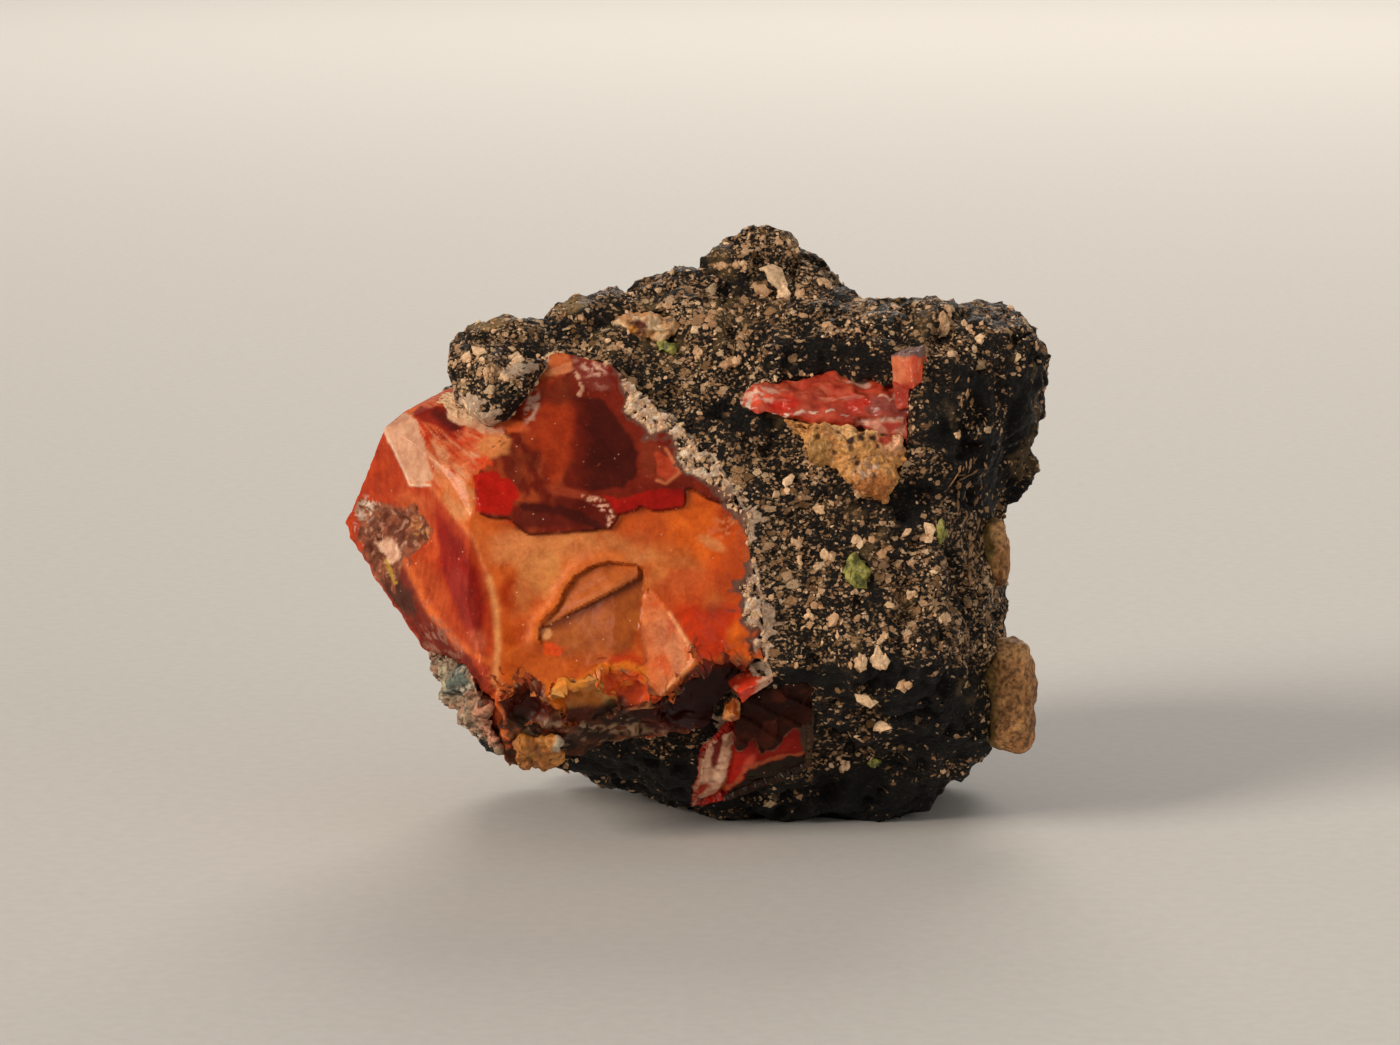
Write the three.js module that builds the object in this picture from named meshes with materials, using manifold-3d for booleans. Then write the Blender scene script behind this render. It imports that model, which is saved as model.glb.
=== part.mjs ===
// A rough carnelian in its matrix, as a three.js scene graph.
//
// The specimen is a broken piece of volcanic breccia. A dark, pale-flecked matrix holds a large carnelian, two smaller
// carnelian fragments, a porous tan lump, two worn pebbles and a few grains of other minerals. Each of them is a stone
// of its own, set in a socket of the matrix.
//
// Units are millimetres and +Z is up. +X runs to the right and +Y away from the viewer, with the large carnelian
// facing the viewer on the left. The origin is the middle of the specimen's footprint, on the surface it stands on.

import * as THREE from "three";
import { ConvexGeometry } from "three/addons/geometries/ConvexGeometry.js";
import { ImprovedNoise } from "three/addons/math/ImprovedNoise.js";
import { mergeVertices } from "three/addons/utils/BufferGeometryUtils.js";
import Module from "manifold-3d";

const wasm = await Module();
wasm.setup();

// Driving dimensions
const HEART = new THREE.Vector3(5, 0, 27); // the point that the whole matrix surface can be seen from
const MATRIX_DETAIL = 16; // splits of each edge of the icosahedron that becomes the matrix
const REACH = 48; // farther from the heart than any part of the matrix
const SOCKET_GAP = 0.55; // most space left between a stone and the socket that holds it
const LUMP_BLEND = 2.6; // how softly the matrix's lumps run into each other
const FACE_BLEND = 1.6; // how softly its broken faces meet
const HOLLOW_BLEND = 1.2; // how softly its hollows open
const CLEARANCE = 14; // how far the space in front of an exposed stone is kept clear
const CARNELIAN_SHOWN = 19; // how many of the large carnelian's corners are exposed
const FOOT = 30; // half the width of the block that levels the foot

// Each size of bump on the matrix: its wavelength and height.
const ROUGHNESS = [
  { wave: 9, height: 1.1 },
  { wave: 4.2, height: 0.75 },
];

// The broken faces of the matrix block: a point on each, and the way it faces.
const BROKEN_FACES = {
  front: { at: [12, -21.5, 29.6], faces: [0.04, -0.98, 0.17] },
  underFront: { at: [12, -24.5, 16.6], faces: [-0.02, -0.66, -0.75] },
  upperFront: { at: [2, -15, 44.6], faces: [-0.1, -0.72, 0.66] },
  rightWall: { at: [27.6, -5, 26], faces: [0.965, -0.24, 0.02] },
  rightFoot: { at: [26, -8, 6], faces: [0.5, -0.2, -0.8] },
  leftFoot: { at: [-10, -12, 5.6], faces: [-0.3, -0.22, -0.93] },
  leftWall: { at: [-25, 0, 31], faces: [-0.95, 0.05, -0.12] },
  top: { at: [5, 2, 49.4], faces: [0, 0.16, 0.98] },
  topLeft: { at: [-18, 0, 45.4], faces: [-0.42, 0.1, 0.9] },
  back: { at: [4, 23, 27], faces: [0.08, 0.99, 0.05] },
  backTop: { at: [4, 15, 44], faces: [0.05, 0.62, 0.78] },
  backFoot: { at: [4, 16, 8], faces: [0, 0.7, -0.71] },
  backLeft: { at: [-17, 14, 27], faces: [-0.72, 0.69, -0.05] },
  backRight: { at: [23, 14, 27], faces: [0.75, 0.66, 0.05] },
};

// Lumps that stand out of the block: centre, half sizes, and a power from 2 for round to 4 for boxy.
const LUMPS = {
  headUpper: { at: [22.4, -5, 44.6], half: [11.6, 10, 6.2], power: 3 },
  headSide: { at: [27.4, -4, 41.6], half: [5.8, 8, 4.6], power: 2.8 },
  headFront: { at: [20, -12, 42], half: [9, 8, 8], power: 2.6 },
  knob: { at: [6, 1.5, 50.7], half: [5.4, 6, 7.6], power: 2.3 },
  knobSide: { at: [11.9, 1, 49.9], half: [4, 5, 4.4], power: 2.2 },
  crest: { at: [-2.6, -3, 47.9], half: [6, 6.5, 6.4], power: 2.3 },
  crestLeft: { at: [-10, -6, 46.3], half: [6, 6.5, 5.6], power: 2.3 },
  shoulder: { at: [-18.8, -9, 45], half: [5.6, 6, 5.2], power: 2.6 },
  brow: { at: [14.5, -11, 46.6], half: [7, 5, 2.6], power: 2.4 },
  rightLump: { at: [29.6, 4, 33.2], half: [4.2, 5, 3], power: 2.4 },
  rightRib: { at: [26.4, -3, 25], half: [3, 9, 12], power: 2.6 },
  pebbleSeat: { at: [26, -9, 13.6], half: [3, 7, 7.6], power: 2.6 },
  ledge: { at: [14.5, -21, 19], half: [9.5, 4.4, 3.4], power: 2.6 },
  foot: { at: [11, -1, 5], half: [12.5, 11, 6], power: 2.8 },
  frontFoot: { at: [2, -11, 8.2], half: [9, 7, 5], power: 2.4 },
  backLump: { at: [-8, 18, 35], half: [8, 6, 7], power: 2.4 },
  backKnee: { at: [13, 19, 16], half: [9, 6, 6], power: 2.4 },
};

// Hollows in the matrix: centre and half sizes.
const HOLLOWS = {
  cave: { at: [14.5, -15, 46.4], half: [5.6, 6.4, 2] },
  caveMouth: { at: [11, -17, 46.4], half: [3, 4.4, 2.2] },
  valley: { at: [8, -24, 38.4], half: [8, 4.6, 4.2] },
  sidePit: { at: [20.4, -22.5, 34.2], half: [2.6, 3.4, 2.4] },
  waist: { at: [34.6, -9, 36.6], half: [3, 7, 1.8] },
  underNotch: { at: [6, -24, 11.5], half: [7, 5, 3.6] },
};

// Corners of the large carnelian. Its long ridge runs from ridgeTop down to toe, and backTop to backRight lie inside
// the matrix or behind it.
const CARNELIAN_CORNERS = {
  leftTip: [-34.3, -12.5, 30.6],
  leftUpper: [-33.8, -13.5, 32.6],
  windowLeft: [-30.6, -15.5, 40.2],
  windowTop: [-28.6, -13.5, 41.6],
  shoulder: [-25.2, -11, 43.3],
  ridgeTop: [-24.9, -20.6, 35.1],
  ridgeUpper: [-22.4, -22.6, 32],
  ridgeMiddle: [-20.2, -25.2, 27],
  ridgeLower: [-19.4, -27, 22.2],
  ridgeFoot: [-18.9, -27.6, 17],
  toe: [-18.4, -21, 8.2],
  crest: [-13.6, -13, 47.2],
  crestRight: [-8.7, -15, 46.2],
  slopeRight: [0.6, -19.6, 38],
  bandTop: [4.2, -21.2, 32.6],
  bandMiddle: [5.3, -22.6, 25.6],
  bandFoot: [6.2, -24, 19.8],
  frontFoot: [-5, -27.4, 16.2],
  underRight: [1, -21.5, 12],
  backTop: [-22, 4, 38],
  backLeft: [-31, 2, 30],
  backFoot: [-20, 4, 15],
  backRight: [0, 2, 25],
};

// Shallow shells broken out of the carnelian. Each lies in the face through three corners, named counter to the clock
// as seen from outside, at the mean of them weighed by shares, with its width and its depth.
const CARNELIAN_SHELLS = [
  { corners: ["windowLeft", "leftUpper", "ridgeLower"], shares: [0.33, 0.33, 0.34], across: 21, depth: 1.3 },
  { corners: ["crestRight", "ridgeUpper", "slopeRight"], shares: [0.33, 0.33, 0.34], across: 16, depth: 0.8 },
  { corners: ["bandTop", "ridgeLower", "frontFoot"], shares: [0.12, 0.44, 0.44], across: 17, depth: 0.7 },
  { corners: ["toe", "underRight", "frontFoot"], shares: [0.33, 0.33, 0.34], across: 13, depth: 1 },
];

// Outline of the dark skin that still lies on the carnelian's upper face, seen from the front as X and Z.
const SKIN_OUTLINE = [
  [-22.5, 36.2],
  [-21.5, 32.6],
  [-19.3, 32.5],
  [-17, 31.2],
  [-9, 31.7],
  [-8.4, 33.2],
  [-1.8, 33.6],
  [-1.4, 35.4],
  [3.2, 34],
  [2, 37],
  [-6, 43],
  [-13, 49],
  [-19, 43],
];
const SKIN_RISE = 0.9;
const SKIN_FOOT = 30; // lower than any point of that outline

// Corners of the part of the matrix that hangs over the carnelian's upper left edge.
const OVERHANG = [
  [-24.5, -14, 45.5],
  [-23.6, -11.5, 48],
  [-22.4, -10, 49.6],
  [-19.5, -9.4, 50],
  [-15.1, -9, 50],
  [-14.6, -15, 47.6],
  [-17, -18.5, 44.4],
  [-18.9, -20, 42.3],
  [-20.8, -20.2, 41.4],
  [-23.8, -17, 43.4],
  [-19.2, -18.4, 46.2],
  [-22.2, -15.4, 47.8],
  [-22, -5, 44],
  [-15, -5, 44],
];

// Corners of the smaller angular stones. The last two of each, or the last of the chip, lie inside the matrix.
const SEAM_STRIP = [
  [3.6, -18, 43.3],
  [5, -16.5, 44.3],
  [7.2, -15, 45.1],
  [12.4, -14, 45.4],
  [16.4, -14, 45.7],
  [18.8, -15, 44.4],
  [4.3, -18.6, 42.6],
  [9.6, -19.4, 42],
  [13.4, -19.6, 41.8],
  [19.1, -20, 40.8],
  [20.6, -18.6, 43.3],
  [20.2, -20, 39.4],
  [8, -9, 43],
  [16, -8, 43],
];
const SEAM_CHIP = [
  [18.6, -16, 45.7],
  [18.9, -14.5, 47.1],
  [21.7, -15, 47.5],
  [21.6, -17, 45.8],
  [20.3, -18.4, 43.8],
  [18.2, -17.5, 43.4],
  [19, -9, 43],
];
const TAN_CLAST = [
  [7.2, -19, 42.4],
  [10, -19, 42.4],
  [19.1, -19.6, 41],
  [19.9, -20.2, 38.3],
  [17.7, -21, 33.6],
  [16.2, -21.6, 35.6],
  [12.9, -21.6, 37.4],
  [10.3, -21, 39.2],
  [14.3, -22, 40],
  [17.2, -21.8, 38],
  [12, -13, 39],
  [17, -13, 37],
];
const LOWER_CARNELIAN = [
  [0, -19.4, 9.6],
  [2.9, -20.4, 10.8],
  [3.9, -21.6, 14.4],
  [8.7, -22, 16.6],
  [11.1, -21.4, 17],
  [10.9, -17.6, 7.4],
  [8.8, -16.8, 6.3],
  [4.9, -16, 4.9],
  [2.5, -14.5, 3.1],
  [-1, -14, 2.7],
  [3, -7, 6],
  [8, -10, 13],
];
const AMBER_CLAST = [
  [-17.9, -24.4, 11.2],
  [-13.2, -25, 11.8],
  [-13.4, -22.6, 8.8],
  [-17.6, -22.4, 8.4],
  [-17.2, -17.5, 7.4],
  [-13.6, -16.5, 7.6],
];
const PALE_CRUST = [
  [-26.2, -18, 18.9],
  [-22.2, -23.8, 19.2],
  [-25.6, -16, 15.4],
  [-22.6, -18.4, 11.8],
  [-20.6, -21.6, 11],
  [-19, -22, 9.4],
  [-20.2, -23.8, 12.6],
  [-21.2, -25.2, 16],
  [-23.2, -9.5, 14],
  [-18.5, -13, 10],
];

// Rounded stones on the surface of the matrix: a point on the way to each from the heart, half sizes, how far the middle
// lies under the surface, and how often the edges of the icosahedron are split.
const ROUND_STONES = {
  pebbleLarge: { toward: [29.6, -12.5, 14.1], half: [2.7, 4, 6.2], sunk: -0.8, detail: 4 },
  pebbleSmall: { toward: [29.2, -9.5, 26.9], half: [1.5, 2.4, 3.8], sunk: -0.2, detail: 3 },
  brown: { toward: [-5.4, -9, 49.2], half: [3.6, 2, 1.8], sunk: 1.1, detail: 2 },
  greenCrest: { toward: [-3.1, -11, 47.7], half: [1.4, 1.1, 0.9], sunk: 0.3, detail: 1 },
  greenMiddle: { toward: [14.5, -21.5, 27.4], half: [1.4, 1.1, 1.7], sunk: 0.3, detail: 1 },
  greenRight: { toward: [24.7, -21, 31], half: [0.9, 1.1, 1.6], sunk: 0.3, detail: 1 },
  greenLow: { toward: [16.5, -13, 7.9], half: [1, 1, 0.8], sunk: 0.2, detail: 1 },
};

// Solids from points, and booleans

function solidOf(geometry) {
  const bare = geometry.clone();
  bare.deleteAttribute("normal");
  bare.deleteAttribute("uv");
  const merged = mergeVertices(bare, 1e-3);
  return new wasm.Manifold(
    new wasm.Mesh({
      numProp: 3,
      vertProperties: merged.attributes.position.array,
      triVerts: new Uint32Array(merged.index.array),
    }),
  );
}

function geometryOf(solid) {
  const mesh = solid.getMesh();
  const places = new Float32Array(mesh.numVert * 3);
  for (let i = 0; i < mesh.numVert; i++) {
    places.set(mesh.vertProperties.subarray(i * mesh.numProp, i * mesh.numProp + 3), i * 3);
  }
  const geometry = new THREE.BufferGeometry();
  geometry.setAttribute("position", new THREE.BufferAttribute(places, 3));
  geometry.setIndex(new THREE.BufferAttribute(mesh.triVerts, 1));
  geometry.computeVertexNormals();
  return geometry;
}

// The hull of the corners, with every face moved out by up to grow.
function hullOf(corners, grow = 0) {
  const points = corners.map((corner) => new THREE.Vector3(...corner));
  if (grow === 0) return solidOf(new ConvexGeometry(points));
  const ways = [0, 1, 2].flatMap((axis) => [grow, -grow].map((step) => new THREE.Vector3().setComponent(axis, step)));
  return solidOf(new ConvexGeometry(points.flatMap((point) => ways.map((way) => point.clone().add(way)))));
}

// The largest body of a solid, without the crumbs that its sockets cut off.
function mainBody(solid) {
  return solid.decompose().reduce((most, body) => (body.volume() > most.volume() ? body : most));
}

// Turns a shape made along +Z so that it looks the way of faces, and moves it to at.
function placed(geometry, at, faces) {
  const turn = new THREE.Quaternion().setFromUnitVectors(new THREE.Vector3(0, 0, 1), faces);
  return geometry.clone().applyQuaternion(turn).translate(...at);
}

// A shallow dish in the face through three corners, as wide as across there and depth deep in the middle.
function shellCutter({ corners, shares, across, depth }) {
  const places = corners.map((name) => new THREE.Vector3(...CARNELIAN_CORNERS[name]));
  const plane = new THREE.Plane().setFromCoplanarPoints(...places);
  const middle = places.reduce((sum, place, i) => sum.addScaledVector(place, shares[i]), new THREE.Vector3());
  const radius = (across * across) / 8 / depth + depth / 2;
  const rise = depth * 2; // how far the dish goes on above the face
  const profile = [];
  const rings = 4;
  for (let ring = 0; ring <= rings; ring++) {
    const height = (depth + rise) * (ring / rings) ** 2;
    profile.push(new THREE.Vector2(Math.sqrt(Math.max(radius ** 2 - (radius - height) ** 2, 0)), height - depth));
  }
  profile.push(new THREE.Vector2(0, rise));
  const dish = new THREE.LatheGeometry(profile, 20).rotateX(Math.PI / 2);
  return solidOf(placed(dish, middle, plane.normal));
}

// A prism along Y from an outline of X and Z.
function prismAlongY(outline, nearY, farY) {
  const shape = new THREE.Shape(outline.map(([x, z]) => new THREE.Vector2(x, z)));
  const prism = new THREE.ExtrudeGeometry(shape, { depth: farY - nearY, bevelEnabled: false });
  return solidOf(prism.rotateX(Math.PI / 2).translate(0, farY, 0));
}

const noise = new ImprovedNoise();

function bumps(point, wave, shift) {
  return noise.noise(point.x / wave + shift, point.y / wave + shift, point.z / wave + shift);
}

// The matrix

// How far a point is outside a lump, roughly, in millimetres.
function outsideLump(point, { at, half, power = 2 }) {
  const sum = [point.x, point.y, point.z]
    .map((value, axis) => Math.abs((value - at[axis]) / half[axis]) ** power)
    .reduce((total, value) => total + value);
  return (sum ** (1 / power) - 1) * Math.min(...half);
}

function softMin(a, b, blend) {
  const share = Math.max(blend - Math.abs(a - b), 0) / blend;
  return Math.min(a, b) - (share * share * blend) / 4;
}

const softMax = (a, b, blend) => -softMin(-a, -b, blend);

const brokenPlanes = Object.values(BROKEN_FACES).map(({ at, faces }) => {
  const normal = new THREE.Vector3(...faces).normalize();
  return new THREE.Plane().setFromNormalAndCoplanarPoint(normal, new THREE.Vector3(...at));
});

function outsideMatrix(point) {
  const farInside = -99;
  const block = brokenPlanes.reduce((d, plane) => softMax(d, plane.distanceToPoint(point), FACE_BLEND), farInside);
  const lumpy = Object.values(LUMPS).reduce((d, lump) => softMin(d, outsideLump(point, lump), LUMP_BLEND), block);
  const pitted = Object.values(HOLLOWS).reduce((d, pit) => softMax(d, -outsideLump(point, pit), HOLLOW_BLEND), lumpy);
  return ROUGHNESS.reduce((d, { wave, height }) => d - height * bumps(point, wave, height), pitted);
}

// How far the matrix surface lies from its heart along a ray.
function surfaceAlong(ray) {
  const point = new THREE.Vector3();
  const outsideAt = (out) => outsideMatrix(point.copy(HEART).addScaledVector(ray, out)) > 0;
  const stride = 0.6;
  let inner = REACH;
  while (inner > stride && outsideAt(inner)) inner -= stride;
  let outer = inner + stride;
  for (let halving = 0; halving < 7; halving++) {
    const middle = (inner + outer) / 2;
    if (outsideAt(middle)) outer = middle;
    else inner = middle;
  }
  return inner;
}

// A ball whose vertices are moved in or out, each along its own ray, onto the matrix surface.
function matrixBlock() {
  const ball = new THREE.IcosahedronGeometry(1, MATRIX_DETAIL);
  ball.deleteAttribute("normal");
  ball.deleteAttribute("uv");
  const merged = mergeVertices(ball, 1e-4);
  const places = merged.attributes.position;
  const ray = new THREE.Vector3();
  for (let i = 0; i < places.count; i++) {
    ray.fromBufferAttribute(places, i).normalize();
    ray.multiplyScalar(surfaceAlong(ray)).add(HEART);
    places.setXYZ(i, ray.x, ray.y, ray.z);
  }
  return solidOf(merged);
}

function levelFoot(solid) {
  const below = new THREE.BoxGeometry(2 * FOOT, 2 * FOOT, FOOT).translate(0, 0, -FOOT / 2);
  return solid.subtract(solidOf(below));
}

// The stones

function carnelianBody() {
  const corners = Object.values(CARNELIAN_CORNERS);
  const skin = hullOf(corners, SKIN_RISE).intersect(prismAlongY(SKIN_OUTLINE, -40, -8));
  return CARNELIAN_SHELLS.reduce((body, shell) => body.subtract(shellCutter(shell)), hullOf(corners)).add(skin);
}

// The space that the corners sweep when they move off along way.
function sweep(corners, way) {
  return hullOf([...corners, ...corners.map((corner) => corner.map((value, axis) => value + way[axis]))]);
}

// An angular stone, with the socket that surrounds it and the opening that this leaves in the matrix. As many of its
// first corners as shown are exposed along way, so no matrix covers them.
function angularStone(corners, shown = 0, way = [0, -CLEARANCE, 0]) {
  const socket = hullOf(corners, SOCKET_GAP);
  const opening = shown === 0 ? socket : socket.add(sweep(corners.slice(0, shown), way));
  return { solid: hullOf(corners), socket, opening };
}

function carnelian() {
  const corners = Object.values(CARNELIAN_CORNERS);
  const aboveSkinFoot = new THREE.BoxGeometry(REACH * 2, REACH * 2, REACH).translate(0, 0, SKIN_FOOT + REACH / 2);
  const skinSocket = hullOf(corners, SKIN_RISE + SOCKET_GAP).intersect(solidOf(aboveSkinFoot));
  const socket = hullOf(corners, SOCKET_GAP).add(skinSocket);
  const opening = socket.add(sweep(corners.slice(0, CARNELIAN_SHOWN), [-8, -24, -3]));
  return { solid: carnelianBody().subtract(hullOf(OVERHANG, SOCKET_GAP)), socket, opening };
}

function carnelianSeam() {
  const strip = angularStone(SEAM_STRIP, 12);
  const chip = angularStone(SEAM_CHIP, 6);
  return {
    solid: strip.solid.add(chip.solid),
    socket: strip.socket.add(chip.socket),
    opening: strip.opening.add(chip.opening),
  };
}

// A rounded stone on the matrix surface.
function roundStone({ toward, half, sunk, detail }) {
  const ray = new THREE.Vector3(...toward).sub(HEART).normalize();
  const at = HEART.clone().addScaledVector(ray, surfaceAlong(ray) - sunk);
  const ball = (grow) => new THREE.IcosahedronGeometry(1, detail).scale(...half.map((value) => value + grow));
  const socket = solidOf(ball(SOCKET_GAP).translate(...at));
  return { solid: solidOf(ball(0).translate(...at)), socket, opening: socket };
}

// The whole specimen

const material = (color, roughness) => new THREE.MeshStandardMaterial({ color, roughness, metalness: 0 });

const MATERIALS = {
  matrix: material(0x38332f, 0.85),
  carnelian: material(0xc4561f, 0.35),
  redCarnelian: material(0xb5301c, 0.3),
  pinkCarnelian: material(0xc8503c, 0.3),
  tan: material(0xa8845a, 0.9),
  amber: material(0xb07a34, 0.5),
  crust: material(0xb7aa98, 0.8),
  brown: material(0x8a5228, 0.8),
  pebble: material(0x8f7a55, 0.8),
  green: material(0x5f7038, 0.55),
};

function named(name, solid, finish) {
  const mesh = new THREE.Mesh(geometryOf(mainBody(solid)), finish.clone());
  mesh.name = name;
  return mesh;
}

// The stones in the order that they are cut from one another.
const stones = {
  carnelian: { ...carnelian(), finish: MATERIALS.carnelian },
  carnelian_seam: { ...carnelianSeam(), finish: MATERIALS.pinkCarnelian },
  carnelian_lower: { ...angularStone(LOWER_CARNELIAN, 10), finish: MATERIALS.redCarnelian },
  tan_clast: { ...angularStone(TAN_CLAST, 10), finish: MATERIALS.tan },
  amber_clast: { ...angularStone(AMBER_CLAST), finish: MATERIALS.amber },
  pale_crust: { ...angularStone(PALE_CRUST), finish: MATERIALS.crust },
  pebble_large: { ...roundStone(ROUND_STONES.pebbleLarge), finish: MATERIALS.pebble },
  pebble_small: { ...roundStone(ROUND_STONES.pebbleSmall), finish: MATERIALS.pebble },
  brown_clast: { ...roundStone(ROUND_STONES.brown), finish: MATERIALS.brown },
  green_grain_1: { ...roundStone(ROUND_STONES.greenCrest), finish: MATERIALS.green },
  green_grain_2: { ...roundStone(ROUND_STONES.greenMiddle), finish: MATERIALS.green },
  green_grain_3: { ...roundStone(ROUND_STONES.greenRight), finish: MATERIALS.green },
  green_grain_4: { ...roundStone(ROUND_STONES.greenLow), finish: MATERIALS.green },
};

const specimen = new THREE.Group();
let matrix = matrixBlock();
let taken = [];
for (const [name, { solid, socket, opening, finish }] of Object.entries(stones)) {
  const free = taken.reduce((rest, other) => rest.subtract(other), solid);
  specimen.add(named(name, free, finish));
  matrix = matrix.subtract(opening);
  taken = [...taken, socket];
}
matrix = levelFoot(matrix.add(hullOf(OVERHANG)));
specimen.add(named("matrix", matrix, MATERIALS.matrix));

// Moves the middle of the specimen's outline from above to X = Y = 0.
const middle = new THREE.Box3().setFromObject(specimen).getCenter(new THREE.Vector3());
specimen.children.forEach((mesh) => mesh.geometry.translate(-middle.x, -middle.y, 0));

export default specimen;
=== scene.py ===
# %% [markdown]
# # A rough carnelian in its dark rock
#
# The specimen is a fist-sized piece of volcanic breccia, about 70 mm across. A black, pale-flecked matrix
# holds a big orange and red carnelian with broken, shell-like faces, two smaller carnelians, a porous tan
# lump, two worn pebbles and a few grains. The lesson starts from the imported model, which gives every
# stone its size and place, and makes the fine surface of each stone around it: breaks, flakes, pits,
# crusts and the colours in them.
#
# Everything is in metres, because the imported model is. Stones are measured in millimetres, so MM turns
# one into the other. The arrays that hold vertex places are in millimetres too.

import math
import random

import bmesh
import bpy
import numpy as np
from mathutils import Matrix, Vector, noise
from mathutils.bvhtree import BVHTree


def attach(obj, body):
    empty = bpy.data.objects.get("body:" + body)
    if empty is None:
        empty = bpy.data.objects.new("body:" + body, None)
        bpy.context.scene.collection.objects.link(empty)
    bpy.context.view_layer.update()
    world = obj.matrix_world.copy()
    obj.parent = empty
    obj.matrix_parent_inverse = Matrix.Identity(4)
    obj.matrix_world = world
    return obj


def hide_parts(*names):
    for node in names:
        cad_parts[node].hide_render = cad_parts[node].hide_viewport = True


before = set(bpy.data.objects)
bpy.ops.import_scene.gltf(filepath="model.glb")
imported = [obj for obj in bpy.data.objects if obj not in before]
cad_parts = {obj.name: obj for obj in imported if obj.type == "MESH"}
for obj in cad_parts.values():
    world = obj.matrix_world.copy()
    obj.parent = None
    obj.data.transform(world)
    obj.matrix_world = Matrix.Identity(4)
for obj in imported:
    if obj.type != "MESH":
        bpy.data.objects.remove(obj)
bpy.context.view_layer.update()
MM = 0.001
print("nodes:", ", ".join(sorted(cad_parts)))

# %% [markdown]
# ## The camera
#
# The photograph looks at the specimen from the front and nine degrees above, through a long lens from
# about half a metre, so the stone fills half the width of the picture. Two things follow from those
# numbers: the camera, and the function seen(), which says where a point shows in the picture. It gives
# millimetres to the right of the picture's middle and up from it, at the distance of the target. Outlines
# of colours and breaks are listed in these millimetres, as one would draw them on tracing paper laid over
# the view, and are then thrown onto the surface that faces the viewer.

# %% Camera and tracing plane
PITCH = math.radians(9)
DISTANCE = 489.0
TARGET = np.array([-0.358, 1.225, 28.6])
BACK = np.array([0, -math.cos(PITCH), math.sin(PITCH)])
UP = np.array([0, math.sin(PITCH), math.cos(PITCH)])
EYE = TARGET + DISTANCE * BACK
SENSOR = 36.0
VIEW_WIDTH = 140.0  # how many millimetres the picture is across, at the target

camera_data = bpy.data.cameras.new("camera")
camera_data.sensor_width = SENSOR
camera_data.lens = SENSOR * DISTANCE / VIEW_WIDTH
camera_data.clip_start = 0.05
camera_data.clip_end = 20
camera = bpy.data.objects.new("camera", camera_data)
bpy.context.collection.objects.link(camera)
camera.location = EYE * MM
camera.rotation_euler = (math.pi / 2 - PITCH, 0, 0)
bpy.context.scene.camera = camera


def seen(places):
    """Where places show in the picture: millimetres right of its middle and up from it."""
    away = places - EYE
    depth = away @ -BACK
    return np.stack([away[:, 0], away @ UP], axis=1) * (DISTANCE / depth)[:, None]


print("lens", round(camera_data.lens, 1), "mm, eye at", [round(float(c)) for c in EYE])

# %% [markdown]
# ## Floor and light
#
# A stone is lit like a small product. The main light is a sun on the left in front, made wide so that its
# shadows end softly. A weak fill from the right keeps the dark rock's shape, and a soft light above and
# behind draws a pale line along the top. The floor is a plain pale sheet that goes on far behind the
# stone.

# %% Floor, lights and world
def only(*objects):
    """Selects just these objects, with the first one active."""
    if bpy.context.object and bpy.context.object.mode != "OBJECT":
        bpy.ops.object.mode_set(mode="OBJECT")
    bpy.ops.object.select_all(action="DESELECT")
    for each in objects:
        each.select_set(True)
    bpy.context.view_layer.objects.active = objects[0]


def soft_light(name, place, width, watts, colour):
    """A square area light of width metres at place, turned to the stone."""
    bpy.ops.object.select_all(action="DESELECT")
    bpy.ops.object.light_add(type="AREA", location=place)
    light = bpy.context.object
    light.name = name
    light.data.size = width
    light.data.energy = watts
    light.data.color = colour
    light.rotation_euler = (Vector(TARGET * MM) - light.location).to_track_quat("-Z", "Y").to_euler()


FLOOR_SIZE = 4.0

bpy.ops.object.select_all(action="DESELECT")
bpy.ops.mesh.primitive_plane_add(size=FLOOR_SIZE, location=(0, 0.6, 0))
floor = bpy.context.object
floor.name = "floor"

bpy.ops.object.select_all(action="DESELECT")
bpy.ops.object.light_add(type="SUN", location=(-0.9, -0.62, 0.56))
sun = bpy.context.object
sun.name = "key"
sun.data.energy = 2.4
sun.data.angle = math.radians(24)
sun.data.color = (1, 0.88, 0.75)
sun.rotation_euler = (Vector(TARGET * MM) - sun.location).to_track_quat("-Z", "Y").to_euler()
soft_light("fill", (0.6, -0.5, 0.24), 0.5, 0.8, (1, 0.96, 0.9))
soft_light("rim", (0.2, 1.6, 1), 0.9, 12, (1, 0.94, 0.86))

world = bpy.data.worlds.new("studio")
world.use_nodes = True
world.node_tree.nodes["Background"].inputs["Color"].default_value = (0.9, 0.86, 0.81, 1)
world.node_tree.nodes["Background"].inputs["Strength"].default_value = 0.3
bpy.context.scene.world = world
bpy.context.scene.view_settings.view_transform = "Standard"

# %% [markdown]
# ## How a finish is made
#
# Every finish is a small tree of nodes that ends in one Principled shader. Rock is never one colour: it
# is cells of crystal, clouds of stain, veins and specks, each with a size in millimetres. The class below
# adds one such node at a time, with its size given in millimetres of Object coordinates, so that a
# pattern stays on its stone from every side. A number that is the same all over goes straight onto the
# shader's own socket.

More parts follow.
